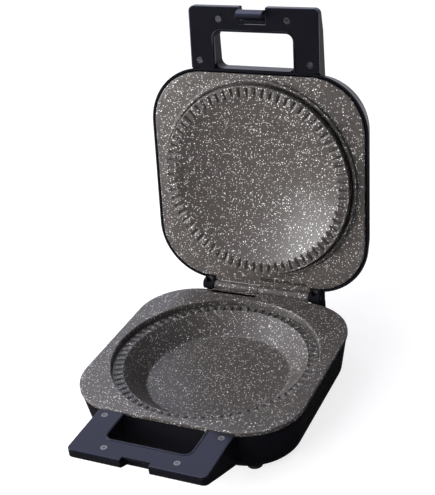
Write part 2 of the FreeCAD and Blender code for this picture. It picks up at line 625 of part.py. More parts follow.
def make_half(label, lid):
    """One plastic shell: a drafted, hollow tub for its plate, and its half of the looped handle."""
    body = new_body(label)
    way = 1 if lid else -1
    grow = S.lid_overhang if lid else -S.base_inset
    mouth = lid_face + S.lid_drop if lid else base_top
    depth = S.lid_height if lid else S.base_height
    taper = S.lid_taper if lid else S.base_taper
    rounding = S.lid_round if lid else S.base_round
    reach = upper_reach if lid else S.lower_reach
    opening = upper_opening if lid else lower_opening
    tip = S.upper_tip if lid else S.lower_tip
    middle = S.upper_middle if lid else S.lower_middle
    root = S.upper_root if lid else S.base_height - S.base_round - S.wall
    face = (lid_face if lid else plate_top) + way * S.handle_drop
    deck = face + way * (S.cover_thick + S.seat)
    notch_back = latch_ahead - S.latch_barrel - S.ease if lid else catch_wall
    front = plate_front - grow
    cover_end = (front if lid else plate_front) - S.ease

    def wall_at(height, inward):
        """The tub's front wall at a height, so far inside its outer face."""
        return front + way * (height - mouth) * tangent(taper) + inward

    # The handle's outline from the side: deck, tip, a bend at the finger opening, and the root in the tub.
    root_z = mouth + way * root
    tip_y, tip_z = -reach, deck + way * tip
    bend_y, bend_z = -opening - S.wall, deck + way * middle
    root_y = wall_at(root_z, sized(0))

    def under(y, first, second):
        """Height of the handle's outer side at y, on the straight run between two of its points."""
        return first[1] + (y - first[0]) * (second[1] - first[1]) / (second[0] - first[0])

    nose = ((tip_y, tip_z), (bend_y, bend_z))
    flank = ((bend_y, bend_z), (root_y, root_z))
    inner_y = root_y + 2 * S.wall

    def deck_from(y):
        """The deck's end in the tub at y; the base's deck steps down there, under its plate's edge."""
        return [(y, deck)] if lid else [(y, mouth), (cover_end, mouth), (cover_end, deck)]

    side = Drawing(body, "handle_side", "YZ_Plane")
    side.polygon([*deck_from(inner_y), (tip_y, deck), (tip_y, tip_z), (bend_y, bend_z),
                  (inner_y, under(inner_y, *flank))])
    handle = pad(body, "handle", side, S.handle_width, both=True)
    half = S.handle_width.value / 2
    corners = soften(body, "handle_corners", handle, S.handle_corner, lambda at, along:
                     same(at.y, tip_y.value) and same(abs(at.x), half))

    def outer_edge(at, along):
        """Whether an edge runs round the handle's outer side, not along its deck, its bend or its root."""
        across = abs(along.x) > 0.99 and not same(at.y, tip_y.value)
        level = same(at.z, deck.value) or same(at.z, mouth.value)
        return not (across or level or same(at.y, inner_y.value) or abs(along.z) > 0.99)

    soften(body, "handle_edges", corners, S.handle_edge, outer_edge)
    outline = plate_outline(Drawing(body, "mouth_section", height=mouth), grow)
    pad(body, "tub", outline, depth, down=not lid, taper=taper)
    hollow = plate_outline(Drawing(body, "hollow_section", height=mouth), grow - S.wall)
    cavity = pocket(body, "tub_hollow", hollow, depth - S.wall, along=lid, taper=taper)
    closed_end = mouth + way * depth
    floor = (closed_end - way * S.wall).value
    inner_round = soften(body, "floor_rounding", cavity, rounding - S.wall,
                         lambda at, along: same(at.z, floor))
    soften(body, "tub_rounding", inner_round, rounding, lambda at, along: same(at.z, closed_end.value))
    inside = Drawing(body, "handle_inside", "YZ_Plane")
    inner = way * S.wall * -1
    inside.polygon([(wall_at(deck, sized(0)), deck - way * S.over), (tip_y + S.wall, deck - way * S.over),
                    (tip_y + S.wall, tip_z + inner), (bend_y, bend_z + inner),
                    (root_y - S.wall, root_z + inner * 1.5)])
    pocket(body, "handle_hollow", inside, S.handle_width - 2 * S.wall, both=True)
    frame = Drawing(body, "opening_frame_side", "YZ_Plane")
    frame.polygon([*deck_from(wall_at(mouth, S.wall / 2)), (bend_y, deck), (bend_y, bend_z),
                   (root_y, root_z)])
    pad(body, "opening_frame", frame, opening_width + 2 * S.wall, both=True)
    block = Drawing(body, "latch_block_side", "YZ_Plane")
    block_y = S.wall - notch_back
    block.polygon([(tip_y + S.wall / 2, deck), (block_y, deck), (block_y, under(block_y, *nose)),
                   (tip_y + S.wall / 2, under(tip_y + S.wall / 2, *nose))])
    pad(body, "latch_block", block, S.notch_width + 4 * S.wall, both=True)
    rear_y = -opening + S.screw_rear_back
    front_y = -opening - S.screw_rail
    posts = (("rear_posts", screw_out, rear_y, flank), ("front_posts", screw_front_out, front_y, nose))
    for name, x, y, run in posts:
        spots = Drawing(body, f"{name}_section", height=deck).circles([(-x, y), (x, y)], S.post_radius)
        pad(body, name, spots, way * (under(y, *run) - deck) - S.wall / 2, down=not lid)
    screw_spots = [(-screw_out, rear_y), (screw_out, rear_y), (-screw_front_out, front_y),
                   (screw_front_out, front_y)]
    holes = Drawing(body, "post_hole_section", height=deck).circles(screw_spots, S.screw_shank + S.hold)
    pocket(body, "post_holes", holes, S.screw_length, along=lid)
    finger = Drawing(body, "opening_section", height=deck - way * S.over)
    finger.rounded(-opening_width / 2, opening_width / 2, -opening, front - S.seat, S.opening_corner)
    pocket(body, "finger_opening", finger, along=lid)
    notch = Drawing(body, "notch_section", height=deck - way * S.over)
    notch.box(-S.notch_width / 2, S.notch_width / 2, -reach - S.over, -notch_back)
    pocket(body, "latch_notch", notch, along=lid)
    return body, types.SimpleNamespace(face=face, front=front, cover_end=cover_end, reach=reach, way=way,
                                       opening=opening, screw_spots=screw_spots, mouth=mouth)


def make_base_shell():
    """The base's shell, with corner posts, foot sockets, stop lugs and the cord inlet."""
    body, half = make_half("base_shell", lid=False)
    post_top = plate_under - S.corner_boss - S.seat
    posts = Drawing(body, "corner_post_section", height=post_top).circles(corner_spots, S.corner_post)
    pad(body, "corner_posts", posts, post_top - S.foot_height - S.wall / 2, down=True)
    wells = Drawing(body, "counterbore_section", height=S.foot_height - S.over)
    wells.circles(corner_spots, S.screw_head + S.ease)
    pocket(body, "counterbores", wells, S.counterbore + S.over, along=True)
    holes = Drawing(body, "corner_hole_section", height=S.foot_height - S.over)
    pocket(body, "corner_holes", holes.circles(corner_spots, S.screw_shank + S.ease), along=True)
    sockets = Drawing(body, "foot_socket_section", height=S.foot_height - S.over)
    sockets.circles(foot_spots(), S.foot_stem + S.hold)
    pocket(body, "foot_sockets", sockets, S.wall + 2 * S.over, along=True)
    rear = plate_rear - S.base_inset
    lug_top = hinge_z - S.lug_drop
    lugs = Drawing(body, "lug_section", height=lug_top)
    for left, right in ((-ear_outer, -S.ear_inner), (S.ear_inner, ear_outer)):
        lugs.box(left, right, rear - S.wall - S.over / 2, hinge_back + S.lug_back)
    pad(body, "stop_lugs", lugs, S.lug_thick, down=True)
    inlet = Drawing(body, "inlet_pad_section", "XZ_Plane", -rear)
    half_pad = S.inlet_pad / 2
    inlet.box(-S.inlet_side - half_pad, half_pad - S.inlet_side, S.inlet_height - half_pad,
              S.inlet_height + half_pad)
    pad(body, "inlet_pad", inlet, (base_top - S.inlet_height + half_pad) * tangent(S.base_taper) + S.over)
    bore = Drawing(body, "inlet_section", "XZ_Plane", -rear)
    bore.circles([(-S.inlet_side, S.inlet_height)], S.inlet_radius + S.hold)
    pocket(body, "inlet_hole", bore, S.inlet_length + S.over, along=True)
    return body, half


def foot_spots():
    """Middles of the four feet."""
    return [(side * (S.plate_width / 2 - S.foot_side), end) for side in (-1, 1)
            for end in (plate_front + S.foot_front, plate_rear - S.foot_rear)]


def make_lid_shell():
    """The lid's shell, with plate stops, hinge ears, the latch pin's holes and holes for the lights."""
    body, half = make_half("lid_shell", lid=True)
    stop_top = lid_top - S.wall / 2
    stops = Drawing(body, "stop_section", height=lid_back + S.seat).circles(corner_spots, S.corner_post)
    pad(body, "plate_stops", stops, stop_top - lid_back)
    gap = Drawing(body, "knuckle_gap_section", height=half.mouth - S.over)
    gap.box(-S.ear_inner - S.over, S.ear_inner + S.over, plate_rear - S.over,
            plate_rear + S.lid_overhang + S.over)
    pocket(body, "knuckle_gap", gap, S.plate_edge + S.over, along=True)
    ear_low = hinge_z + S.ear_face
    slot_width = S.ear_width - S.wall + S.ease
    slot_rear = ear_screw_y + S.ear_screw_head + S.ease
    for name, start, slot_start in (("left", -ear_outer, -S.ear_inner - slot_width),
                                    ("right", S.ear_inner, S.ear_inner)):
        block = Drawing(body, f"{name}_ear_side", "YZ_Plane", start)
        block.box(plate_rear + S.ease, hinge_back + S.ear_tail, ear_low, ear_low + S.ear_height)
        pad(body, f"{name}_ear", block, S.ear_width)
        boss = Drawing(body, f"{name}_ear_boss_side", "YZ_Plane", start)
        boss.circles([(hinge_back, hinge_z)], S.ear_radius)
        pad(body, f"{name}_ear_boss", boss, S.ear_width)
        slot = Drawing(body, f"{name}_ear_slot_section", "YZ_Plane", slot_start)
        slot.box(plate_rear - S.over, slot_rear, lid_back - S.over, lid_back + S.tab_thick + S.seat)
        pocket(body, f"{name}_ear_slot", slot, slot_width, along=True)
        bore = Drawing(body, f"{name}_ear_bore_side", "YZ_Plane", start)
        bore.circles([(hinge_back, hinge_z)], S.pin_radius + S.hold)
        pocket(body, f"{name}_ear_bore", bore, S.ear_width, along=True)
    wells = Drawing(body, "ear_well_section", height=hinge_z - S.ear_radius)
    pocket(body, "ear_wells", wells.circles(ear_screws, S.ear_screw_head + S.ease),
           S.ear_radius + S.ear_face + S.screw_head_height, along=True)
    holes = Drawing(body, "ear_hole_section", height=hinge_z - S.ear_radius)
    pocket(body, "ear_holes", holes.circles(ear_screws, S.screw_shank + S.hold),
           S.ear_radius + S.ear_face + S.ear_height - S.over, along=True)
    pin = Drawing(body, "latch_pin_side", "YZ_Plane")
    pin.circles([(-latch_ahead, latch_z)], S.latch_pin + S.hold)
    pocket(body, "latch_pin_hole", pin, S.notch_width + 2 * S.wall, both=True)
    lights = Drawing(body, "light_section", height=lid_top + S.over)
    pocket(body, "light_holes", lights.circles(light_spots(), S.light_stem + S.hold), S.wall + 2 * S.over)
    return hang(body), half


def light_spots():
    """Middles of the two lights on the lid."""
    return [(side * S.light_side, -S.light_front) for side in (-1, 1)]


def make_cover(label, half, lip):
    """The flat inner face of one handle half, with its finger opening, screw wells and latch notch."""
    body = new_body(label)
    way = half.way
    flat = Drawing(body, "cover_section", height=half.face)
    side = S.handle_width / 2
    flat.rounded(-side, side, -half.reach, half.cover_end, S.handle_corner, (True, True, False, False))
    slab = pad(body, "cover_slab", flat, S.cover_thick, down=way < 0)
    rear = half.cover_end.value
    face = half.face.value
    soften(body, "cover_edges", slab, S.cover_edge,
           lambda at, along: same(at.z, face) and not same(at.y, rear))
    finger = Drawing(body, "opening_section", height=half.face - way * S.over)
    finger.rounded(-opening_width / 2, opening_width / 2, -half.opening, half.front + S.opening_corner,
                   S.opening_corner, (True, True, False, False))
    pocket(body, "finger_opening", finger, along=way > 0)
    notch = Drawing(body, "notch_section", height=half.face - way * S.over)
    notch.box(-S.notch_width / 2, S.notch_width / 2, -half.reach - S.over, -lip)
    pocket(body, "latch_notch", notch, along=way > 0)
    wells = Drawing(body, "well_section", height=half.face - way * S.over)
    pocket(body, "screw_wells", wells.circles(half.screw_spots, S.screw_head + S.ease),
           S.screw_head_height + 2 * S.seat + S.over, along=way > 0)
    holes = Drawing(body, "hole_section", height=half.face - way * S.over)
    pocket(body, "screw_holes", holes.circles(half.screw_spots, S.screw_shank + S.ease), along=way > 0)
    if way < 0:
        return body
    groove = Drawing(body, "pin_groove_section", "YZ_Plane")
    groove.circles([(-latch_ahead, latch_z)], S.latch_pin + S.seat)
    pocket(body, "pin_groove", groove, S.notch_width + 2 * S.wall + S.ease, both=True)
    return hang(body)


def make_screws(label, spots, head_face, up, length, head=S.screw_head):
    """Equal cross-recess screws, drawn from the outer faces of their heads."""
    body = new_body(label)
    way = 1 if up else -1
    heads = Drawing(body, "head_section", height=head_face).circles(spots, head)
    pad(body, "heads", heads, S.screw_head_height, down=not up)
    shanks = Drawing(body, "shank_section", height=head_face + way * S.screw_head_height / 2)
    pad(body, "shanks", shanks.circles(spots, S.screw_shank), length + S.screw_head_height / 2, down=not up)
    long, short = S.screw_cross / 2, S.screw_slot / 2
    for name, reach_x, reach_y in (("slots_across", long, short), ("slots_along", short, long)):
        slots = Drawing(body, f"{name}_section", height=head_face - way * S.over)
        for x, y in spots:
            slots.box(x - reach_x, x + reach_x, y - reach_y, y + reach_y)
        pocket(body, name, slots, S.screw_slot + S.over, along=up)
    return body


def make_pin(label, y, z, radius, length):
    """A plain pin across the middle plane."""
    body = new_body(label)
    section = Drawing(body, "pin_section", "YZ_Plane").circles([(y, z)], radius)
    pad(body, "pin", section, length, both=True)
    return body


def make_latch():
    """A bow that turns on its pin, drawn hooked and about its own axis, and hung at its open place."""
    body = new_body("latch")
    width = S.notch_width - 2 * S.side_play
    lean = S.latch_lean
    bow_y, bow_z = -S.latch_reach * sine(lean), -S.latch_reach * cosine(lean)
    ring = Drawing(body, "bow_section", "YZ_Plane").circles([(bow_y, bow_z)], S.latch_outer)
    pad(body, "bow", ring, width, both=True)
    barrel = Drawing(body, "barrel_section", "YZ_Plane").circles([(0, 0)], S.latch_barrel)
    pad(body, "barrel", barrel, width, both=True)
    hollow = Drawing(body, "hollow_section", "YZ_Plane")
    toe_y = bow_y - S.latch_outer * 2 * cosine(S.latch_toe)
    toe_z = bow_z - S.latch_outer * 2 * sine(S.latch_toe)
    far = S.latch_outer * 2
    hollow.polygon([(bow_y, bow_z), (toe_y, toe_z), (far, toe_z), (far, far), (0, far), (0, bow_z)])
    pocket(body, "bow_mouth", hollow, width, both=True)
    inner = Drawing(body, "inner_section", "YZ_Plane").circles([(bow_y, bow_z)], S.latch_inner)
    pocket(body, "bow_inside", inner, width, both=True)
    collar = Drawing(body, "collar_section", "YZ_Plane").circles([(0, 0)], S.latch_barrel)
    pad(body, "collar", collar, width, both=True)
    bore = Drawing(body, "bore_section", "YZ_Plane").circles([(0, 0)], S.latch_pin + S.fit)
    pocket(body, "pin_bore", bore, width, both=True)
    return hang(body, (sized(0), -latch_ahead, latch_z), S.latch_rest)


def make_foot(label, x, y):
    """A rubber foot with the stem and head that hold it in the base."""
    body = new_body(label)
    section = Drawing(body, "foot_section", "XZ_Plane")
    lower, upper = S.foot_height - S.seat, floor_top + S.seat
    section.polygon([(0, 0), (S.foot_radius - S.over, 0), (S.foot_radius, lower), (S.foot_stem, lower),
                     (S.foot_stem, upper), (S.foot_stem + S.over, upper), (S.foot_stem, upper + S.over),
                     (0, upper + S.over)])
    turned(body, "foot", section)
    return stand(body, x, y, 0)


def primitive(kind, name, at, **sizes):
    """A Part primitive with its sizes and its place bound."""
    piece = doc.addObject(f"Part::{kind}", name)
    for key, value in sizes.items():
        piece.setExpression(key, sized(value).text)
    return stand(piece, *at)


def fused(label, pieces):
    """Several primitives as one solid."""
    union = doc.addObject("Part::MultiFuse", label)
    union.Label = label
    union.Shapes = pieces
    return union


def make_element(label, ring, height, way):
    """A tubular heater: an open ring with two cold legs and terminal pins towards the rear."""
    name = f"{label}_"
    tube = primitive("Torus", f"{name}ring", (0, 0, height), Radius1=ring, Radius2=S.element_radius,
                     Angle3=360 - S.element_gap)
    tube.Placement.Rotation = FreeCAD.Rotation(FreeCAD.Vector(0, 0, 1), 1)
    tube.setExpression("Placement.Rotation.Angle", (90 + S.element_gap / 2).text)
    pieces = [tube]
    for number, (x, y) in enumerate(element_ends(ring)):
        root = height - way * S.element_radius / 2
        low = root if way > 0 else root - S.element_leg
        tip = low + S.element_leg - S.over if way > 0 else low + S.over - S.element_pin_length
        pieces.append(primitive("Cylinder", f"{name}leg{number}", (x, y, low),
                                Radius=S.element_radius + S.ease, Height=S.element_leg))
        pieces.append(primitive("Cylinder", f"{name}pin{number}", (x, y, tip), Radius=S.element_pin,
                                Height=S.element_pin_length))
    return fused(label, pieces)


def element_ends(ring):
    """Where the two ends of an element's ring lie."""
    return [(side * ring * sine(S.element_gap / 2), ring * cosine(S.element_gap / 2)) for side in (-1, 1)]


def make_shield(label, radius, sheet_low, lip_way):
    """A round sheet pan with a turned lip, holed for its screw."""
    body = new_body(label)
    section = Drawing(body, "shield_section", "XZ_Plane")
    low, high = sheet_low, sheet_low + S.shield_sheet
    hole = S.screw_shank + S.ease
    lip = high + S.shield_lip if lip_way > 0 else low - S.shield_lip
    inner, outer = (high, low) if lip_way > 0 else (low, high)
    section.polygon([(hole, outer), (radius, outer), (radius, lip), (radius - S.shield_sheet, lip),
                     (radius - S.shield_sheet, inner), (hole, inner)])
    turned(body, "pan", section)
    return body


def make_thermostat():
    """A disc thermostat held between the dish and its heat shield, with two terminals."""
    low, high = shield_top + S.seat, dish_under - S.seat
    case = primitive("Cylinder", "thermostat_case", (S.control_side, 0, low), Radius=S.control_radius,
                     Height=high - low)
    reach = S.control_radius + S.control_tab
    tabs = primitive("Box", "thermostat_tabs", (S.control_side - S.control_tab / 2, -reach, (low + high) / 2),
                     Length=S.control_tab, Width=2 * reach, Height=S.shield_sheet)
    return fused("thermostat", [case, tabs])


def make_fuse():
    """An axial thermal fuse that lies on the heat shield."""
    body = new_body("thermal_fuse")
    z = shield_top + S.seat + S.fuse_radius
    for name, radius, length in (("case", S.fuse_radius, S.fuse_length),
                                 ("leads", S.fuse_lead, 2 * S.fuse_length)):
        section = Drawing(body, f"{name}_section", "YZ_Plane", -S.fuse_side)
        pad(body, name, section.circles([(S.fuse_back, z)], radius), length, both=True)
    return body


def make_terminal_block():
    """A terminal block on the base's floor, with three wire holes."""
    body = new_body("terminal_block")
    foot = Drawing(body, "block_section", height=floor_top + S.seat)
    long, deep = S.block_length / 2, S.block_depth / 2
    foot.box(-block_out - long, -block_out + long, S.block_back - deep, S.block_back + deep)
    pad(body, "block", foot, S.block_height)
    holes = Drawing(body, "wire_hole_section", height=floor_top + S.seat + S.block_height)
    pocket(body, "wire_holes", holes.circles(block_holes(), S.wire_radius * 2), S.block_height / 2)
    return body


def make_inlet_bushing():
    """The flanged rubber bushing of the cord inlet, turned about its own axis and laid along Y."""
    body = new_body("inlet_bushing")
    section = Drawing(body, "bushing_section", "XZ_Plane")
    section.polygon([(S.inlet_bore, -S.inlet_length), (S.inlet_radius, -S.inlet_length),
                     (S.inlet_radius, S.seat), (S.inlet_flange, S.seat),
                     (S.inlet_flange, S.inlet_flange_thick), (S.inlet_bore, S.inlet_flange_thick)])
    turned(body, "bushing", section)
    body.Placement = FreeCAD.Placement(FreeCAD.Vector(), FreeCAD.Rotation(FreeCAD.Vector(1, 0, 0), -90))
    return stand(body, -S.inlet_side, plate_rear - S.base_inset, S.inlet_height)


def make_light(label, x):
    """A domed lens whose stem passes through the lid."""
    body = new_body(label)
    section = Drawing(body, "lens_section", "XZ_Plane")
    section.dome(S.light_dome + S.seat + S.over, S.light_radius, S.seat + S.over, S.seat)
    turned(body, "lens_dome", section)
    stem = Drawing(body, "stem_section", height=S.seat + S.over / 2).circles([(0, 0)], S.light_stem)
    pad(body, "lens_stem", stem, S.wall + S.over + S.over, down=True)
    return hang(body, (sized(x), -S.light_front, lid_top))


def make_lamp(label, x):
    """The lamp behind a lens."""
    body = new_body(label)
    top = -S.wall - S.over - S.over / 2
    section = Drawing(body, "lamp_section", height=top).circles([(0, 0)], S.lamp_radius)
    pad(body, "lamp", section, S.lamp_length, down=True)
    return hang(body, (sized(x), -S.light_front, lid_top))


def cutout_spot():
    """Where the cut-out sits on the back of the upper plate."""
    return cutout_ring * cosine(S.cutout_angle), cutout_ring * sine(S.cutout_angle)


def make_cutout():
    """The lid's thermal cut-out, seated on the back of the upper plate."""
    body = new_body("lid_cutout")
    case = Drawing(body, "case_section", height=lid_back + S.seat).circles([cutout_spot()], S.cutout_radius)
    pad(body, "case", case, S.cutout_height)
    return hang(body)


def wire_solid(points):
    """One insulated wire: straight runs joined by tangent arcs, each as large as its two runs allow."""
    spots = [FreeCAD.Vector(*(sized(value).value for value in point)) for point in points]
    edges = []
    start = spots[0]
    for before, corner, after in zip(spots, spots[1:], spots[2:]):
        back, ahead = before - corner, after - corner
        half_turn = (math.pi - back.getAngle(ahead)) / 2
        reach = ARC_SHARE * min(back.Length, ahead.Length)
        back.normalize()
        ahead.normalize()
        enter, leave = corner + back * reach, corner + ahead * reach
        inward = back + ahead
        inward.normalize()
        radius = reach / math.tan(half_turn)
        middle = corner + inward * (radius / math.cos(half_turn) - radius)
        edges.append(Part.LineSegment(start, enter).toShape())
        edges.append(Part.Arc(enter, middle, leave).toShape())
        start = leave
    edges.append(Part.LineSegment(start, spots[-1]).toShape())
    section = Part.Wire(Part.Circle(spots[0], spots[1] - spots[0], S.wire_radius.value).toShape())
    return Part.Wire(edges).makePipeShell([section], True, False)


def wire_group(label, routes):
    """Several wires as one piece."""
    group = doc.addObject("Part::Feature", label)
    group.Label = label
    group.Shape = Part.makeCompound([wire_solid(route) for route in routes])
    return group


def block_holes():
    """Middles of the terminal block's three wire holes."""
    return [(-block_out + step * S.block_length / 3, S.block_back) for step in (-1, 0, 1)]


def make_base_wires():
    """Wires from the cord inlet to the terminal block, and on to the element, the thermostat and the fuse."""
    run, space = S.wire_run, 2 * S.wire_radius
    over_block = floor_top + S.block_height + run / 2
    hole_floor = floor_top + S.block_height / 2 + 2 * S.seat
    live, neutral, switched = block_holes()
    inlet_y = plate_rear - S.base_inset - S.inlet_length
    left_pin, right_pin = element_ends(element_ring)
    pin_tip = lower_pin_tip - S.seat
    over_lip = shield_top + S.shield_lip + space
    tab_z = (shield_top + dish_under) / 2 + S.shield_sheet / 2
    tab_y = S.control_radius + S.control_tab + S.seat
    fuse_z = shield_top + S.seat + S.fuse_radius
    fuse_right = S.fuse_length + S.seat - S.fuse_side
    fuse_left = -S.fuse_side - S.fuse_length - S.seat
    block_front = S.block_back - S.block_depth / 2
    routes = []
    for lead, (x, y) in ((-1, live), (1, neutral)):
        inlet_x = lead * space - S.inlet_side
        level = over_block + lead * space
        routes.append([(inlet_x, inlet_y + space, S.inlet_height), (inlet_x, inlet_y - run, S.inlet_height),
                       (x, y + run, level), (x, y, level), (x, y, hole_floor)])
    routes.append([(*switched, hole_floor), (*switched, over_block),
                   (switched[0] + run, switched[1] + 2 * run, over_block),
                   (*left_pin, pin_tip - run / 2), (*left_pin, pin_tip)])
    routes.append([(*right_pin, pin_tip), (*right_pin, pin_tip - run / 3),
                   (S.control_side, shield_radius, over_lip), (S.control_side, tab_y + run, over_lip),
                   (S.control_side, tab_y + run / 2, tab_z), (S.control_side, tab_y, tab_z)])
    routes.append([(S.control_side, -tab_y, tab_z), (S.control_side, -tab_y - run, tab_z),
                   (fuse_right + run, -tab_y - run, tab_z), (fuse_right + run, S.fuse_back, fuse_z),
                   (fuse_right, S.fuse_back, fuse_z)])
    routes.append([(fuse_left, S.fuse_back, fuse_z), (fuse_left - run / 2, S.fuse_back, fuse_z),
                   (switched[0], S.fuse_back + run, over_lip), (switched[0], block_front - S.seat, over_lip)])
    return wire_group("base_wires", routes)


def make_lid_wires():
    """Wires from the two lamps and the cut-out to the upper element's terminals."""
    run = S.wire_run
    lamp_z = lid_top - S.wall - S.over - S.lamp_length / 2
    ends = element_ends(upper_ring)
    pin_low = lid_back + S.seat + S.element_radius / 2 + S.element_leg
    pin_top = pin_low - S.over + S.element_pin_length
    routes = []
    for side, (x, y) in zip((-1, 1), ends):
        lamp_x = side * (S.light_side + S.lamp_radius + S.seat)
        pin_side = x + side * (S.element_pin + S.seat)
        routes.append([(lamp_x, -S.light_front, lamp_z), (lamp_x + side * run, -S.light_front, lamp_z),
                       (x + side * 2 * run, 0, lamp_z), (x + side * run, y, pin_low + S.over),
                       (pin_side, y, pin_low + S.over)])
    cut_x, cut_y = cutout_spot()
    cut_top = lid_back + S.seat + S.cutout_height + S.seat
    right_x, right_y = ends[1]
    routes.append([(cut_x, cut_y, cut_top), (cut_x, cut_y, pin_top),
                   (right_x + run, right_y - run, pin_top + S.element_pin_length / 2),
                   (right_x, right_y, pin_top + S.element_pin_length / 2),
                   (right_x, right_y, pin_top + S.seat)])
    return hang(wire_group("lid_wires", routes))


def make_pieces():
    """Every piece, in the order base, lid, latch."""
    base_shell, lower = make_base_shell()
    lid_shell, upper = make_lid_shell()
    middle = [(sized(0), sized(0))]
    sink = S.screw_head_height
    pieces = [base_shell, make_lower_plate(), make_cover("lower_handle_cover", lower, lip_edge)]
    pieces.append(make_screws("lower_handle_screws", lower.screw_spots, lower.face - S.seat, False,
                              S.screw_length - S.seat))
    well_top = S.foot_height + S.counterbore
    pieces.append(make_screws("base_screws", corner_spots, well_top - sink - S.seat, True,
                              plate_under - well_top - S.over))
    for (x, y), name in zip(foot_spots(), ("front_left", "rear_left", "front_right", "rear_right")):
        pieces.append(make_foot(f"foot_{name}", x, y))
    pieces.append(make_element("lower_element", element_ring, lower_element_z, -1))
    pieces.append(make_shield("lower_shield", shield_radius, shield_top - S.seat - S.shield_sheet, 1))
    under_shield = shield_top - S.shield_sheet - 2 * S.seat
    pieces.append(make_screws("lower_shield_screw", middle, under_shield - sink, True,
                              S.stud_length - S.over))
    pieces += [make_thermostat(), make_fuse(), make_terminal_block(), make_inlet_bushing(), make_base_wires()]
    pieces += [lid_shell, make_upper_plate()]
    pieces.append(make_cover("upper_handle_cover", upper, latch_ahead - S.latch_barrel - S.ease))
    pieces.append(hang(make_screws("upper_handle_screws", upper.screw_spots, upper.face + S.seat, True,
                                   S.screw_length - S.seat)))
    pieces.append(hang(make_screws("ear_screws", ear_screws, hinge_z + S.ear_face - S.seat, True,
                                   S.ear_height - 2 * sink, S.ear_screw_head)))
    pieces.append(hang(make_element("upper_element", upper_ring, lid_back + S.seat + S.element_radius, 1)))
    pieces.append(hang(make_shield("upper_shield", upper_shield_radius, upper_shield_under, -1)))
    over_shield = upper_shield_under + S.shield_sheet + S.seat
    pieces.append(hang(make_screws("upper_shield_screw", middle, over_shield + sink, False,
                                   S.upper_stud - S.seat)))
    pieces.append(make_cutout())
    for name, side in (("power", -1), ("ready", 1)):
        pieces.append(make_light(f"{name}_light_lens", side * S.light_side))
        pieces.append(make_lamp(f"{name}_lamp", side * S.light_side))
    pieces.append(make_lid_wires())
    pieces.append(make_pin("hinge_pin", hinge_back, hinge_z, S.pin_radius, 2 * ear_outer - S.seat))
    pieces.append(hang(make_pin("latch_pin", -latch_ahead, latch_z, S.latch_pin,
                                S.notch_width + 2 * S.wall - S.seat)))
    pieces.append(make_latch())
    return pieces


def check(pieces):
    """Stop if an object failed, a cut removed nothing, or a piece's shape is empty or invalid."""
    for item in doc.Objects:
        if {"Invalid", "Error"} & set(item.State):
            raise RuntimeError(f"{item.Label} failed: {item.State}")
        if item.TypeId in ("PartDesign::Pocket", "PartDesign::Groove"):
            if item.Shape.Volume > item.BaseFeature.Shape.Volume - 1e-6:
                raise RuntimeError(f"{item.Label} cut nothing")
    for piece in pieces:
        if piece.Shape.isNull() or not piece.Shape.isValid():
            raise RuntimeError(f"{piece.Label} has no valid shape")


def main():
    """Build the pieces, check them and write one file for each."""
    pieces = make_pieces()
    doc.recompute()
    check(pieces)
    os.makedirs("parts", exist_ok=True)
    for piece in pieces:
        piece.Shape.exportStep(f"parts/{piece.Label}.step")
        print(piece.Label, len(piece.Shape.Solids), round(piece.Shape.Volume / 1000, 2), "cm3")


main()
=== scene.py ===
"""Looks of an electric pie maker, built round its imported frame: cast plates, finishes, stage and camera."""
import json
import math

import bmesh
import bpy
import numpy as np
from bpy.props import FloatProperty, FloatVectorProperty, IntProperty, PointerProperty
from mathutils import Matrix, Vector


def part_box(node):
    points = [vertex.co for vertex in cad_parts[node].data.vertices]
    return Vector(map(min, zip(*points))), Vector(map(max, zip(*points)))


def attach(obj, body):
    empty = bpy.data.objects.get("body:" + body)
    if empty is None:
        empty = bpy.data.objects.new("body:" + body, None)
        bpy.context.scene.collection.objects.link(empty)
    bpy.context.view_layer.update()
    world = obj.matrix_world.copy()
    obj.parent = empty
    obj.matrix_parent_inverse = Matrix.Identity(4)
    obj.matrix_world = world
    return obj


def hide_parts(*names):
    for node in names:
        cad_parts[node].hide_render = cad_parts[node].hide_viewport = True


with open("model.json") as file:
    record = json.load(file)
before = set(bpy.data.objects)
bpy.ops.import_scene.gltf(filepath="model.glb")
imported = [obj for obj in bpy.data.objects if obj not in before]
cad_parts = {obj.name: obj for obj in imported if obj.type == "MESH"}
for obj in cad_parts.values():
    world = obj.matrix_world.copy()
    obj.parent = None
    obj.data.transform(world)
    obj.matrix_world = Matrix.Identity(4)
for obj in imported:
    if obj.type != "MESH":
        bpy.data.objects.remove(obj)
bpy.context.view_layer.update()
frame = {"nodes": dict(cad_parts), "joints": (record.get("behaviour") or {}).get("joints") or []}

bl_info = {
    "name": "Pie maker looks",
    "version": (1, 0, 0),
    "blender": (4, 5, 0),
    "location": "View3D > Sidebar > Pie maker",
    "description": "Coated plates, plastic and metal finishes and a studio for a pie maker",
    "category": "Object",
}

LID_HINGE = next(joint for joint in frame["joints"] if joint["name"] == "lid_hinge")
PLATE_LOW, PLATE_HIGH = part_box("lower_plate")
COVER_LOW, COVER_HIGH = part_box("lower_handle_cover")
TURN = 2 * math.pi
WHITE = (1, 1, 1, 1)
BLACK = (0, 0, 0, 1)

# Most of a noise lies between these two values.
NOISE_LOW = 0.3
NOISE_HIGH = 0.7

# Roundings of the castings, from the dish floor out to the mouth and from the raised ring out to its foot.
FLOOR_ROUND = 0.006
LEDGE_ROUND = 0.0014
MOUTH_FOOT_ROUND = 0.0006
MOUTH_ROUND = 0.0014
RING_ROUND = 0.0008
MOAT_ROUND = 0.0004
STEP_INNER_ROUND = 0.0006
STEP_OUTER_ROUND = 0.0007
STEP_FOOT_ROUND = 0.0005

# The flat of a flange starts this far outside the turned part of its plate.
FLAT_MARGIN = 0.002

# A groove between two teeth runs out over these lengths: on the ledge, in the dome and at its outer end.
LEDGE_RUN = 0.001
DOME_RUN = 0.003
OUTER_RUN = 0.0008

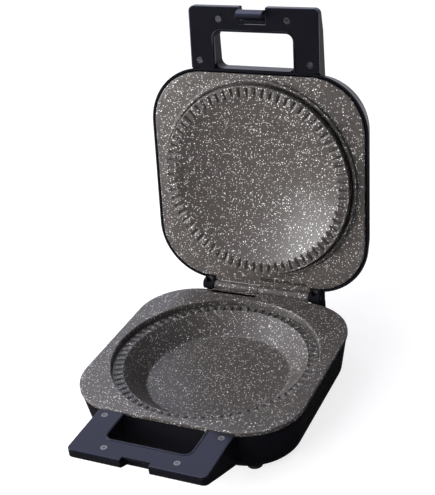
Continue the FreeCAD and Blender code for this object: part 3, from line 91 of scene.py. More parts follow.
# Rows and columns of the grids.
COLUMNS_PER_CRIMP = 12
TEETH_ROWS = 10
WALL_ROWS = 7
FLANGE_ROWS = 9
EDGE_ROWS = 4
HOOD_ROWS = 12
BARREL_POINTS = 41
WEB_POINTS = 4
LIP_POINTS = 48
BEAD_POINTS = 16
BEAD_CORNER_POINTS = 12


def length(name, default, description):
    """A length that a user can change."""
    return FloatProperty(name=name, description=description, default=default, unit="LENGTH", precision=5)


def angle(name, degrees, description):
    """An angle that a user can change."""
    return FloatProperty(name=name, description=description, default=math.radians(degrees), unit="ROTATION")


def colour(name, default, description):
    """A colour that a user can change."""
    return FloatVectorProperty(name=name, description=description, default=default, subtype="COLOR", size=3,
                               min=0, max=1)


def number(name, default, description, unit="NONE"):
    """A number that a user can change."""
    return FloatProperty(name=name, description=description, default=default, unit=unit)


class PlateSizes(bpy.types.PropertyGroup):
    """Sizes of the two cast plates and of the beads on the handles, lid closed, in the part's frame."""

    half_width: length("Half width", PLATE_HIGH.x, "Plate's side from the middle plane")
    front: length("Front", PLATE_LOW.y, "Front edge of the plates")
    depth: length("Depth", 0.246, "Plate, front to rear")
    corner: length("Corner", 0.0615, "Corner radius of the plates")
    thickness: length("Thickness", 0.0045, "Thickness of the plates' flange")
    edge: length("Edge", 0.0012, "Rounding of the flange's edges")
    lower_top: length("Lower plate's top", 0.05355, "Height of the lower plate's top")
    upper_face: length("Upper plate's face", 0.05705, "Height of the upper plate's face, closed")
    rim: length("Rim", 0.1126, "Radius of the dish mouth")
    rim_draft: length("Rim draft", 0.001, "How much the mouth narrows down to the ledge")
    ledge_drop: length("Ledge drop", 0.0069, "Crimp ledge below the plate's top")
    ledge_inner: length("Ledge", 0.1, "Inner radius of the crimp ledge")
    dish_floor: length("Dish floor", 0.078, "Radius of the dish floor")
    dish_depth: length("Dish depth", 0.0285, "Dish floor below the plate's top")
    wall: length("Wall", 0.0035, "Thickness of the cast dish and dome")
    rim_wall: length("Rim wall", 0.002, "Thickness of the casting outside the dish mouth")
    boss: length("Raised ring", 0.1106, "Outer radius of the upper plate's raised ring")
    boss_height: length("Ring height", 0.01, "Raised ring above the upper plate's face")
    step: length("Step", 0.1165, "Outer radius of the raised ring's foot")
    step_height: length("Step height", 0.0032, "Height of that foot")
    moat: length("Moat", 0.0022, "Width of the groove between that ring and its foot")
    dome: length("Dome", 0.0995, "Radius of the dome's mouth")
    dome_depth: length("Dome depth", 0.021, "Dome crown from the raised ring's face")
    crimps: IntProperty(name="Crimps", description="Crimp teeth in one ring", default=70, min=3)
    crimp_depth: length("Crimp depth", 0.0019, "Depth of the groove between two teeth")
    crimp_margin: length("Crimp margin", 0.0016, "Width of the smooth band outside the teeth")
    barrel: length("Hinge barrel", 0.0052, "Radius of the cast hinge barrels")
    bore: length("Hinge bore", 0.0026, "Radius of the hole in the barrels")
    barrel_end: length("Barrel end", 0.0592, "Outer end of the barrels from the middle plane")
    barrel_split: length("Barrel split", 0.003, "Where the barrels meet, left of the middle plane")
    barrel_play: length("Barrel play", 0.0004, "Gap between the two barrels")
    opening_half: length("Finger opening", 0.046, "Half the width of the finger openings")
    opening_corner: length("Opening corner", 0.008, "Corner radius of the finger openings")
    lower_rail: length("Lower rail", 0.0265, "Lower handle ahead of its finger opening")
    upper_opening: length("Upper opening", -0.1659, "Front of the upper finger opening")
    upper_cover: length("Upper cover", 0.05825, "Height of the upper handle cover's face, closed")
    bead_width: length("Bead width", 0.0016, "Width of the raised bead round the finger openings")
    bead_height: length("Bead height", 0.0006, "Height of that bead above the handle covers")


class Finishes(bpy.types.PropertyGroup):
    """Colours of the finishes."""

    stone: colour("Stone coating", (0.052, 0.045, 0.041), "Ground of the speckled coating")
    fleck: colour("Fleck", (0.97, 0.95, 0.92), "Pale flecks of the coating")
    # This colour serves the real dark mottling and also the painted shade in the castings' grooves, moat and
    # rim wall.
    mottling_and_shade: colour("Dark mottling", (0.012, 0.01, 0.009), "Dark mottling and recesses of the coating")
    black: colour("Black plastic", (0.004, 0.004, 0.0052), "Housings and handles")
    sheen: colour("Sheen", (0.6, 0.62, 1.0), "Tint of the light on the black plastic")
    rubber: colour("Rubber", (0.025, 0.025, 0.026), "Feet and cord bushing")
    steel: colour("Steel", (0.55, 0.55, 0.56), "Other screws and latch pin")
    dark_steel: colour("Dark steel", (0.3, 0.3, 0.31), "Handle and base screws and hinge pin")
    sheet: colour("Sheet", (0.62, 0.62, 0.6), "Heat shields")
    sheath: colour("Sheath", (0.3, 0.28, 0.26), "Heating elements")
    ceramic: colour("Ceramic", (0.76, 0.73, 0.66), "Controls and terminal block")
    sleeve: colour("Sleeve", (0.7, 0.67, 0.6), "Wire sleeving")
    red: colour("Red lens", (0.55, 0.02, 0.015), "Power light")
    green: colour("Green lens", (0.02, 0.32, 0.06), "Ready light")
    glass: colour("Lamp", (0.85, 0.8, 0.7), "Lamps behind the lenses")
    floor: colour("Floor", (0.9, 0.9, 0.9), "Studio floor")


class Studio(bpy.types.PropertyGroup):
    """The camera's place and the lamps."""

    azimuth: angle("Azimuth", 27.09, "Camera round from the handle side")
    elevation: angle("Elevation", 27.93, "Camera above the horizon")
    roll: angle("Roll", -6.42, "Camera turned about its own axis")
    place: FloatVectorProperty(name="Camera", description="Camera's place", size=3, unit="LENGTH",
                               default=(0.46441, -0.87361, 0.70631))
    lens: number("Lens", 79.914, "Focal length in millimetres", "CAMERA")
    left_power: number("Left lamp", 28, "Watts of the lamp at the left", "POWER")
    softbox_power: number("Left softbox", 16, "Watts of the wide lamp at the left", "POWER")
    top_power: number("Top lamp", 3, "Watts of the lamp above and behind", "POWER")
    front_power: number("Front lamp", 18, "Watts of the lamp in front", "POWER")
    bright: number("Bright side", 1.0, "Surrounding light, left and rear")
    dim: number("Dim side", 0.07, "Surrounding light, right and front")


class Socket:
    """One output of a material's nodes. Arithmetic on it adds Math nodes."""

    def __init__(self, looks, link):
        self.looks = looks
        self.link = link

    def output(self, name):
        """Another output of the same node."""
        return Socket(self.looks, self.link.node.outputs[name])

    def maths(self, operation, first, second):
        """A Math node on two values."""
        return self.looks.node("ShaderNodeMath", {"operation": operation}, {0: first, 1: second})

    def __add__(self, other):
        return self.maths("ADD", self, other)

    def __radd__(self, other):
        return self.maths("ADD", other, self)

    def __sub__(self, other):
        return self.maths("SUBTRACT", self, other)

    def __rsub__(self, other):
        return self.maths("SUBTRACT", other, self)

    def __mul__(self, other):
        return self.maths("MULTIPLY", self, other)

    def __rmul__(self, other):
        return self.maths("MULTIPLY", other, self)

    def __gt__(self, other):
        return self.maths("GREATER_THAN", self, other)


class Looks:
    """A material or world, and the one way in which nodes are added to it."""

    def __init__(self, owner):
        self.owner = owner
        owner.use_nodes = True
        self.tree = owner.node_tree

    def node(self, kind, settings=None, inputs=None, output=0):
        """Add a node, set it up, feed its sockets and give back one of its outputs."""
        made = self.tree.nodes.new(kind)
        for name, value in (settings or {}).items():
            setattr(made, name, value)
        self.feed(made, inputs or {})
        return Socket(self, made.outputs[output])

    def feed(self, made, inputs):
        """Link or set a node's input sockets."""
        for name, value in inputs.items():
            if isinstance(value, Socket):
                self.tree.links.new(value.link, made.inputs[name])
            else:
                made.inputs[name].default_value = value

    def find(self, kind):
        """The node of a type that a new material or world starts with."""
        return next(node for node in self.tree.nodes if node.type == kind)

    def place(self):
        """Coordinates that stay with the piece."""
        return self.node("ShaderNodeTexCoord", output="Object")

    def noise(self, size, detail=2.0, where=None):
        """Cloudy noise whose lumps are about this large, from 0 to 1."""
        inputs = {"Vector": where or self.place(), "Scale": 1 / size, "Detail": detail}
        return self.node("ShaderNodeTexNoise", None, inputs)

    def between(self, value, low, high, start=0.0, end=1.0):
        """A value carried from one range to another and kept inside it."""
        inputs = {"Value": value, "From Min": low, "From Max": high, "To Min": start, "To Max": end}
        return self.node("ShaderNodeMapRange", {"clamp": True}, inputs)

    def spread(self, noise, low, high):
        """A noise spread over a range."""
        return self.between(noise, NOISE_LOW, NOISE_HIGH, low, high)

    def along(self, where, way):
        """How far a place or a direction lies along a way."""
        return self.node("ShaderNodeVectorMath", {"operation": "DOT_PRODUCT"}, {0: where, 1: way}, "Value")

    def mix(self, share, first, second):
        """Two colours mixed by a share from 0 to 1."""
        return self.node("ShaderNodeMix", {"data_type": "RGBA"}, {"Factor": share, 6: first, 7: second}, 2)

    def specks(self, where, size, share, radius):
        """Dots round the middles of Voronoi cells of a size, in a share of the cells.

        The radius is a share of the cell's size. A dot fades out over the last quarter of its radius, and the
        colour of a cell draws its lot.
        """
        cells = self.node("ShaderNodeTexVoronoi", None, {"Vector": where, "Scale": 1 / size}, "Distance")
        lot = self.node("ShaderNodeSeparateColor", None, {"Color": cells.output("Color")}, "Red")
        dot = self.between(cells, radius, radius * 0.75)
        return dot * (lot > 1 - share)

    def soft_edges(self, radius):
        """A surface normal that rounds sharp edges over a radius."""
        return self.node("ShaderNodeBevel", {"samples": 4}, {"Radius": radius})

    def bump(self, height, depth, strength, normal=None):
        """A surface normal raised by a height from 0 to 1, times a depth in metres."""
        inputs = {"Height": height, "Distance": depth, "Strength": strength}
        return self.node("ShaderNodeBump", None, inputs | ({"Normal": normal} if normal else {}))

    def surface(self, **inputs):
        """Set or link the sockets of the surface shader."""
        values = {name.replace("_", " "): value for name, value in inputs.items()}
        self.feed(self.find("BSDF_PRINCIPLED"), values)
        return self.owner


def rgba(tone, factor=1.0):
    """A colour with full opacity, made darker or lighter by a factor."""
    return (*(value * factor for value in tone), 1.0)


def finishes():
    """The colours of the finishes."""
    return bpy.context.scene.pie_finishes


def plates():
    """The sizes of the plates and beads."""
    return bpy.context.scene.pie_plates


def stone_coating():
    """Speckled stone-effect coating: dark mottling and two sizes of pale round flecks on a warm dark ground.

    The castings carry a point attribute from 0 on open faces to 1 deep in a groove, where the colour is
    darkened as painted shade.
    """
    tones = finishes()
    mottling_share = 0.5
    fine_share = 0.8
    # How far the painted shade darkens the coating's colour.
    painted_shade_share = 0.7
    elsewhere = (0.37, 0.21, 0.11)
    looks = Looks(bpy.data.materials.new("stone_coating"))
    where = looks.place()
    cloud = looks.noise(size=0.03, detail=3.0, where=where)
    ground = looks.mix(cloud, rgba(tones.stone, 0.85), rgba(tones.stone, 1.15))
    # The mottling and the fine flecks come from elsewhere in the noise than the broad flecks.
    moved = looks.node("ShaderNodeVectorMath", None, {0: where, 1: elsewhere})
    mottling = looks.between(looks.noise(size=0.0018, detail=1.0, where=moved), low=0.5, high=0.62)
    fine = looks.specks(moved, size=0.0017, share=0.42, radius=0.3)
    broad = looks.specks(where, size=0.0034, share=0.36, radius=0.19)
    # Painted shade: the colour darkens towards the dark mottling tone in grooves, the moat round the raised
    # ring and the rim wall.
    painted_shade = looks.node("ShaderNodeAttribute", {"attribute_name": "painted_shade"}, None, "Fac")
    mottled = looks.mix(mottling * mottling_share, ground, rgba(tones.mottling_and_shade))
    with_fine = looks.mix(fine * fine_share, mottled, rgba(tones.fleck))
    with_broad = looks.mix(broad, with_fine, rgba(tones.fleck))
    grain = looks.noise(size=0.0012, detail=2.0, where=where)
    return looks.surface(Base_Color=looks.mix(painted_shade * painted_shade_share, with_broad, rgba(tones.mottling_and_shade)),
                         Roughness=looks.spread(grain, low=0.29, high=0.38),
                         Normal=looks.bump(grain, depth=0.00012, strength=0.35),
                         Specular_IOR_Level=0.9)


def coating():
    """The coating that both plates share, made at its first use."""
    return bpy.data.materials.get("stone_coating") or stone_coating()


def moulded_plastic(name, low, high, gloss, grain_size, grain_depth):
    """Black moulded plastic: satin between two roughnesses in soft patches, with a fine moulded grain."""
    looks = Looks(bpy.data.materials.new(name))
    where = looks.place()
    patch = looks.noise(size=0.045, detail=3.0, where=where)
    grain = looks.noise(grain_size, detail=2.0, where=where)
    tones = finishes()
    edges = looks.soft_edges(radius=0.0009)
    return looks.surface(Base_Color=looks.mix(patch, rgba(tones.black), rgba(tones.black, 1.6)),
                         Roughness=looks.spread(patch, low, high),
                         Normal=looks.bump(grain, grain_depth, strength=0.5, normal=edges),
                         Specular_IOR_Level=gloss,
                         Specular_Tint=rgba(tones.sheen))


def metal(name, tone, low, high, streak):
    """Bare or blackened metal: fine streaks drawn out along one axis vary its tone and its gloss."""
    looks = Looks(bpy.data.materials.new(name))
    drawn = looks.node("ShaderNodeMapping", None, {"Vector": looks.place(), "Scale": (1, streak, streak)})
    lines = looks.noise(size=0.004, detail=3.0, where=drawn)
    return looks.surface(Base_Color=looks.mix(lines, rgba(tone, 0.75), rgba(tone)), Metallic=1.0,
                         Roughness=looks.spread(lines, low, high),
                         Normal=looks.bump(lines, depth=0.00004, strength=0.4))


def matt(name, tone, size, depth, rough):
    """A matt finish, such as rubber, ceramic or sleeving, with a grain of one size."""
    looks = Looks(bpy.data.materials.new(name))
    grain = looks.noise(size, detail=4.0)
    play = 0.08
    return looks.surface(Base_Color=looks.mix(grain, rgba(tone, 0.7), rgba(tone)),
                         Roughness=looks.spread(grain, rough - play, rough + play),
                         Normal=looks.bump(grain, depth, strength=0.6))


def lens(name, tone):
    """A glossy coloured lens with fine darker rings moulded into it."""
    looks = Looks(bpy.data.materials.new(name))
    inputs = {"Vector": looks.place(), "Scale": 220.0}
    rings = looks.node("ShaderNodeTexWave", {"wave_type": "RINGS"}, inputs)
    return looks.surface(Base_Color=looks.mix(rings, rgba(tone, 0.45), rgba(tone)), Roughness=0.12,
                         Coat_Weight=0.6)


def rounded_line(corners, steps=6):
    """A line through (across, along, rounding) corners: each rounding is an arc tangent to both its runs."""
    points = [np.array(corners[0][:2])[None]]
    for before, corner, after in zip(corners, corners[1:], corners[2:]):
        middle, rounding = np.array(corner[:2]), corner[2]
        back, ahead = np.array(before[:2]) - middle, np.array(after[:2]) - middle
        back, ahead = back / np.linalg.norm(back), ahead / np.linalg.norm(ahead)
        half = math.acos(np.clip(back @ ahead, -1, 1)) / 2
        reach = rounding / math.tan(half)
        inward = (back + ahead) / np.linalg.norm(back + ahead)
        centre = middle + inward * rounding / math.sin(half)
        start, end = middle + back * reach - centre, middle + ahead * reach - centre
        share = np.linspace(0, 1, steps)[:, None]
        sweep = math.pi - 2 * half
        arc = (np.sin((1 - share) * sweep) * start + np.sin(share * sweep) * end) / math.sin(sweep)
        points.append(centre + arc)
    points.append(np.array(corners[-1][:2])[None])
    return np.concatenate(points)


def outline_radius(turn):
    """Distance from the dish axis to the plate's rounded-square outline in each direction.

    A direction meets a straight side or, past the side's end, the circle of the corner: the larger root of
    |t d - c| = corner radius.
    """
    sizes = plates()
    along_x, along_y = np.cos(turn), np.sin(turn)
    rear = sizes.front + sizes.depth
    side_y = np.where(along_y > 0, rear, -sizes.front)
    with np.errstate(divide="ignore"):
        straight = np.minimum(sizes.half_width / np.abs(along_x), side_y / np.abs(along_y))
    centre_x, centre_y = sizes.half_width - sizes.corner, side_y - sizes.corner
    dot = np.abs(along_x) * centre_x + np.abs(along_y) * centre_y
    inside = np.maximum(dot ** 2 - centre_x ** 2 - centre_y ** 2 + sizes.corner ** 2, 0)
    in_corner = (straight * np.abs(along_x) > centre_x) & (straight * np.abs(along_y) > centre_y)
    return np.where(in_corner, dot + np.sqrt(inside), straight)


def ridge(turn, count):
    """Depth of a ring of crimp teeth, 0 on a tooth's crown and 1 in the groove: (1 - |sin|)^2, softened.

    |sin| is softened to sqrt(sin^2 + soft^2), scaled to run from 0 to 1.
    """
    soft = 0.12
    wave = np.sin(turn * count / 2)
    crown = (np.sqrt(wave ** 2 + soft ** 2) - soft) / (math.sqrt(1 + soft ** 2) - soft)
    return (1 - crown) ** 2


def grid_faces(rows, columns):
    """Quads between neighbours of a grid whose columns close round."""
    index = np.arange(rows * columns).reshape(rows, columns)
    beside = np.roll(index, -1, axis=1)
    return np.stack([index[:-1], beside[:-1], beside[1:], index[1:]], axis=-1).reshape(-1, 4)


def plate_shell(inner, outer_rows, under, groove, shade, way):
    """A plate as one closed surface round the dish axis.

    The rows run from the middle of the face over its turned profile, out over the flange to the outline,
    round the flange's edge and back under to the middle. A row's radius is (1 - w) r + w (outline - inset),
    with w from 0 in the turned part to 1 at the edge. The grooves cut into the turned rows of the face by
    groove(radius) ridge(turn), away from the other plate. The painted shade of a point, which darkens its
    colour, is the larger of its depth in a groove, from 0 to 1, and its row's own painted shade.
    """
    sizes = plates()
    columns = sizes.crimps * COLUMNS_PER_CRIMP
    turn = np.arange(columns) * TURN / columns
    teeth = ridge(turn, sizes.crimps)
    round_flange = (len(inner), len(under))
    after_face = (0, len(outer_rows) + len(under))
    radius = np.concatenate([inner[:, 0], outer_rows[:, 0], under[:, 0]])[:, None]
    height = np.concatenate([inner[:, 1], outer_rows[:, 3], under[:, 1]])[:, None]
    share = np.pad(outer_rows[:, 1], round_flange)[:, None]
    inset = np.pad(outer_rows[:, 2], round_flange)[:, None]
    depth = np.pad(groove(inner[:, 0]), after_face)[:, None]
    row_shade = np.pad(shade(inner), after_face)[:, None]
    out = (1 - share) * radius + share * (outline_radius(turn) - inset)
    points = np.stack([out * np.cos(turn), out * np.sin(turn), height + way * depth * teeth], axis=-1)
    # Painted shade: the colour is darker deep in a groove and in the rows given shade.
    painted_shade = np.maximum(depth / sizes.crimp_depth * teeth, row_shade)
    return points.reshape(-1, 3), grid_faces(len(radius), columns), painted_shade.ravel()


def flange_rows(start, face, way):
    """Rows of a flange from a radius on its face to its outline, round its edge and back to that radius.

    A row is (radius, share of the outline, inset from the outline, height).
    """
    sizes = plates()
    edge, thick = sizes.edge, sizes.thickness
    first_share = 0.04
    out = np.linspace(first_share, 1, FLANGE_ROWS)
    arc = np.linspace(0, math.pi / 2, EDGE_ROWS + 1)[1:]
    rows = [(start, out, edge, face),
            (0, 1, edge * (1 - np.sin(arc)), face + way * edge * (1 - np.cos(arc))),
            (0, 1, edge * (1 - np.cos(arc)), face + way * (thick - edge * (1 - np.sin(arc)))),
            (start, out[::-1], edge, face + way * thick)]
    return np.concatenate([np.column_stack(np.broadcast_arrays(*row)) for row in rows])


def carried(rows):
    """A surface through sections of equal length, given as (place on the hinge axis, section) rows."""
    points = np.concatenate([np.column_stack([np.full(len(section), x), section]) for x, section in rows])
    return points, grid_faces(len(rows), len(rows[0][1])), np.zeros(len(points))


def barrel_shell(start, end, web_low, web_high):
    """A hinge barrel with its web: one outline carried along the hinge axis, bored, and closed at its ends.

    The outline is an arc of the barrel's circle between the heights of the web's upper and lower sides, and
    the web's root in the plate. The bore is the same number of points on a smaller circle, so the ends are
    rings of quads. Its points that face the web keep to the side away from the other plate.
    """
    sizes = plates()
    bevel = 0.0005
    bevel_share = 0.12
    web_part = 0.62
    hinge_y, hinge_z = LID_HINGE["pos_m"][1:]

    def ring(radius, turn):
        """Points of a circle about the hinge axis."""
        return np.stack([hinge_y + radius * np.cos(turn), hinge_z + radius * np.sin(turn)], axis=-1)

    root = sizes.front + sizes.depth - sizes.barrel
    rise = (np.array([web_high, web_low]) - hinge_z) / sizes.barrel
    lean_high, lean_low = np.arcsin(np.clip(rise, -1, 1))
    arc = np.linspace(math.pi - lean_high, -math.pi - lean_low, BARREL_POINTS)
    circle = ring(sizes.barrel, arc)
    share = np.linspace(0, 1, WEB_POINTS + 1)[1:, None]
    low, high = np.array([[root, web_low]]), np.array([[root, web_high]])
    web = np.concatenate([circle[-1:] + (low - circle[-1:]) * share, low + (high - low) * share,
                          high + (circle[:1] - high) * share[:-1]])
    section = np.concatenate([circle, web])
    bore_share = np.linspace(0, web_part, len(web)) + (1 - web_part) * (web_low > hinge_z)
    hole = ring(sizes.bore, np.concatenate([arc, arc[-1] + (arc[0] - TURN - arc[-1]) * bore_share]))
    shrunk = section + (hole - section) * bevel_share
    rows = [(start, hole), (start, shrunk), (start + bevel, section), (start + 2 * bevel, section),
            (end - 2 * bevel, section), (end - bevel, section), (end, shrunk), (end, hole), (start, hole)]
    return carried(rows)


def lip_shell(start, end, low):
    """A strip of flange that reaches back to the other plate's barrel: a box whose long edges are rounded.

    Its section is a rounded rectangle, |u|^8 + |v|^8 = 1, carried along the hinge axis and closed at its
    ends. Its rear lies a little behind the front of that barrel, and its rounded corner keeps clear of it.
    """
    sizes = plates()
    power = 8
    front = sizes.front + sizes.depth - sizes.barrel
    rear = LID_HINGE["pos_m"][1] - sizes.barrel + sizes.barrel_play
    around = np.arange(LIP_POINTS) * TURN / LIP_POINTS
    reach = (np.cos(around) ** power + np.sin(around) ** power) ** (-1 / power)
    y = (front + rear) / 2 + (rear - front) / 2 * reach * np.cos(around)
    z = low + sizes.thickness / 2 * (1 + reach * np.sin(around))
    ring = np.column_stack([y, z])
    middle = np.broadcast_to([(front + rear) / 2, low + sizes.thickness / 2], ring.shape)
    return carried([(start, middle), (start, ring), (end, ring), (end, middle)])


def bead_shell(line, face, way):
    """A raised bead along an open line on a flat face: its section is an ellipse, and it ends in points.

    A point is line + side w cos(turn), at the height face + way h sin(turn), with side square to the line.
    """
    sizes = plates()
    tip = 0.03
    near = line[:1] + (line[1:2] - line[:1]) * tip
    far = line[-1:] + (line[-2:-1] - line[-1:]) * tip
    line = np.concatenate([line[:1], near, line[1:-1], far, line[-1:]])
    ahead = np.gradient(line, axis=0)
    side = np.column_stack([-ahead[:, 1], ahead[:, 0]]) / np.linalg.norm(ahead, axis=1, keepdims=True)
    turn = np.arange(BEAD_POINTS) * TURN / BEAD_POINTS
    taper = np.ones((len(line), 1))
    taper[[0, -1]] = 0
    across = taper * sizes.bead_width / 2 * np.cos(turn)
    flat = line[:, None] + side[:, None] * across[..., None]
    z = face + way * taper * sizes.bead_height * np.sin(turn)
    points = np.concatenate([flat, z[..., None]], axis=-1).reshape(-1, 3)
    return points, grid_faces(len(line), BEAD_POINTS), np.zeros(len(points))


def opening_bead(front, rear, face, way):
    """The bead round a finger opening: along one side, round its front corners and back along the other."""
    sizes = plates()
    out, corner = sizes.opening_half + sizes.bead_width, sizes.opening_corner + sizes.bead_width
    ahead = front - sizes.bead_width
    corners = [(out, rear), (out, ahead, corner), (-out, ahead, corner), (-out, rear)]
    return bead_shell(rounded_line(corners, BEAD_CORNER_POINTS), face, way)


def cap_height(radius, mouth, depth, crown):
    """Height of a spherical cap, given its mouth and depth: crown - ball + sqrt(ball^2 - radius^2)."""
    ball = (mouth ** 2 + depth ** 2) / (2 * depth)
    return crown - ball + np.sqrt(ball ** 2 - radius ** 2)


def open_lid(shell):
    """A shell of the closed lid turned open about the hinge by the lid's whole travel."""
    points, faces, painted_shade = shell
    turn = math.radians(LID_HINGE["range_deg"][1])
    hinge = np.array(LID_HINGE["pos_m"])
    moved = points - hinge
    y = moved[:, 1] * math.cos(turn) + moved[:, 2] * math.sin(turn)
    z = moved[:, 2] * math.cos(turn) - moved[:, 1] * math.sin(turn)
    return np.column_stack([moved[:, 0], y, z]) + hinge, faces, painted_shade


def new_piece(name, shells, material, body, nodes):
    """One object from closed shells: poles and seams merged, faces turned out, smooth but for sharp edges."""
    merge = 1e-6
    sliver = 1e-7
    sharp = math.radians(38)
    points = np.concatenate([shell[0] for shell in shells])
    starts = np.cumsum([0] + [len(shell[0]) for shell in shells[:-1]])
    faces = np.concatenate([shell[1] + start for shell, start in zip(shells, starts)])
    mesh = bpy.data.meshes.new(name)
    mesh.from_pydata(points.tolist(), [], faces.tolist())
    # The painted shade of each point, which darkens the coating's colour.
    painted_shade = mesh.attributes.new("painted_shade", "FLOAT", "POINT")
    painted_shade.data.foreach_set("value", np.concatenate([shell[2] for shell in shells]))
    work = bmesh.new()
    work.from_mesh(mesh)
    bmesh.ops.remove_doubles(work, verts=work.verts, dist=merge)
    bmesh.ops.dissolve_degenerate(work, edges=work.edges, dist=sliver)
    bmesh.ops.recalc_face_normals(work, faces=work.faces)
    work.to_mesh(mesh)
    work.free()
    mesh.shade_smooth()
    mesh.set_sharp_from_angle(angle=sharp)
    mesh.materials.append(material)
    piece = bpy.data.objects.new(name, mesh)
    bpy.context.scene.collection.objects.link(piece)
    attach(piece, body)
    if nodes:
        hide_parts(*nodes)


def dress(names, material):
    """Give CAD nodes a finish."""
    for name in names:
        node = frame["nodes"][name]
        node.data.materials.clear()
        node.data.materials.append(material)


class LowerPlate(bpy.types.Operator):
    """Cast lower plate: dish, crimp ledge, flange and the left hinge barrel"""

    bl_idname = "pie.lower_plate"
    bl_label = "Lower plate"

    def execute(self, context):
        sizes = plates()
        top, under_side = sizes.lower_top, sizes.lower_top - sizes.thickness
        ledge, floor = top - sizes.ledge_drop, top - sizes.dish_depth
        mouth_foot, flat_start = sizes.rim - sizes.rim_draft, sizes.rim + FLAT_MARGIN
        teeth_end = mouth_foot - sizes.crimp_margin
        profile = rounded_line([(0, floor),
                                (sizes.dish_floor, floor, FLOOR_ROUND),
                                (sizes.ledge_inner, ledge, LEDGE_ROUND),
                                (mouth_foot, ledge, MOUTH_FOOT_ROUND),
                                (sizes.rim, top, MOUTH_ROUND),
                                (flat_start, top)])
        # Rows are added on the ledge, for the teeth, and up the dish wall, for even shading.
        before_teeth = 0.0012
        past_teeth = 0.0006
        teeth = np.linspace(sizes.ledge_inner + before_teeth, teeth_end + past_teeth, TEETH_ROWS)
        ledge_rows = np.column_stack([teeth, np.full(TEETH_ROWS, ledge)])
        split = np.searchsorted(profile[:, 0], teeth[0])
        wall = np.searchsorted(profile[:, 0], (sizes.dish_floor + sizes.ledge_inner) / 2)
        share = np.linspace(0, 1, WALL_ROWS + 2)[1:-1, None]
        wall_rows = profile[wall - 1] + share * (profile[wall] - profile[wall - 1])
        inside = np.concatenate([profile[:wall], wall_rows, profile[wall:split], ledge_rows, profile[split:]])
        ledge_back, floor_back = ledge - sizes.wall, floor - sizes.wall
        outside = np.array([(sizes.rim + sizes.rim_wall, under_side),
                            (sizes.rim + sizes.rim_wall, ledge_back),
                            (sizes.ledge_inner, ledge_back),
                            (sizes.dish_floor + sizes.wall / 2, floor_back),
                            (0, floor_back)])

        def groove(radius):
            """Full depth on the ledge, none outside the teeth or down the dish wall."""
            inner = np.clip((radius - sizes.ledge_inner) / LEDGE_RUN, 0, 1)
            outer = np.clip((teeth_end - radius) / OUTER_RUN, 0, 1)
            return sizes.crimp_depth * inner * outer

        def shade(rows):
            """The rim wall and the smooth band at its foot get painted shade."""
            lit_edge = 0.0016
            return (rows[:, 0] > teeth_end) & (rows[:, 1] < top - lit_edge)

        shell = plate_shell(inside, flange_rows(flat_start, top, -1), outside, groove, shade, -1)
        end = -sizes.barrel_split - sizes.barrel_play / 2
        barrel = barrel_shell(-sizes.barrel_end, end, under_side, top)
        lip = lip_shell(end + sizes.barrel_play, sizes.barrel_end, under_side)
        new_piece("lower_plate_casting", [shell, barrel, lip], coating(), "base", ["lower_plate"])
        return {"FINISHED"}


class UpperPlate(bpy.types.Operator):
    """Cast upper plate: dome, raised crimp ring, flange and the right hinge barrel"""

    bl_idname = "pie.upper_plate"
    bl_label = "Upper plate"

    def execute(self, context):
        sizes = plates()
        face, back = sizes.upper_face, sizes.upper_face + sizes.thickness
        ring, foot = face - sizes.boss_height, face - sizes.step_height
        crown, flat_start = ring + sizes.dome_depth, sizes.step + FLAT_MARGIN
        teeth_end = sizes.boss - sizes.crimp_margin
        # The rows lie closer near the dome's mouth, where the grooves run out.
        radius = np.concatenate([np.linspace(0, 0.9, 16), np.linspace(0.91, 1, 12)]) * sizes.dome
        dome = np.column_stack([radius, cap_height(radius, sizes.dome, sizes.dome_depth, crown)])
        past_dome = 0.0006
        before_edge = 0.0018
        teeth = np.linspace(sizes.dome + past_dome, sizes.boss - before_edge, TEETH_ROWS)
        ring_rows = np.column_stack([teeth, np.full(TEETH_ROWS, ring)])
        moat = sizes.boss + sizes.moat
        edge_start = 0.0012
        moat_slope = 0.0006
        side = rounded_line([(sizes.boss - edge_start, ring),
                             (sizes.boss, ring, RING_ROUND),
                             (sizes.boss, face, MOAT_ROUND),
                             (moat, face, MOAT_ROUND),
                             (moat + moat_slope, foot, STEP_INNER_ROUND),
                             (sizes.step, foot, STEP_OUTER_ROUND),
                             (sizes.step, face, STEP_FOOT_ROUND),
                             (flat_start, face)])
        outer = sizes.dome + sizes.wall
        hood_radius = np.linspace(outer, 0, HOOD_ROWS)
        hood_height = cap_height(hood_radius, outer, sizes.dome_depth, crown + sizes.wall)
        hood = np.column_stack([hood_radius, np.maximum(hood_height, back)])

        def groove(radius):
            """Full depth across the ring's face, fading out into the dome and before the outer edge."""
            inner = np.clip((radius - sizes.dome + DOME_RUN) / DOME_RUN, 0, 1)
            outer_fade = np.clip((teeth_end - radius) / OUTER_RUN, 0, 1)
            return sizes.crimp_depth * inner * outer_fade

        def shade(rows):
            """The groove round the raised ring gets painted shade."""
            slack = 0.0001
            far_side = 0.0004
            lit_edge = 0.002
            strength = 0.9
            in_moat = (rows[:, 0] > sizes.boss - slack) & (rows[:, 0] < moat + far_side)
            return strength * (in_moat & (rows[:, 1] > ring + lit_edge))

        inside = np.concatenate([dome, ring_rows, side])
        shell = plate_shell(inside, flange_rows(flat_start, face, 1), hood, groove, shade, 1)
        start = -sizes.barrel_split + sizes.barrel_play / 2
        barrel = barrel_shell(start, sizes.barrel_end, face, back)
        lip = lip_shell(-sizes.barrel_end, start - sizes.barrel_play, face)
        shells = [open_lid(closed) for closed in (shell, barrel, lip)]
        new_piece("upper_plate_casting", shells, coating(), "lid", ["upper_plate"])
        return {"FINISHED"}


class Housings(bpy.types.Operator):
    """Finish of the two plastic shells"""

    bl_idname = "pie.housings"
    bl_label = "Housings"

    def execute(self, context):
        dress(["base_shell", "lid_shell"],
              moulded_plastic("housing_plastic", low=0.18, high=0.27, gloss=0.12, grain_size=0.0009,
                              grain_depth=0.00002))
        return {"FINISHED"}


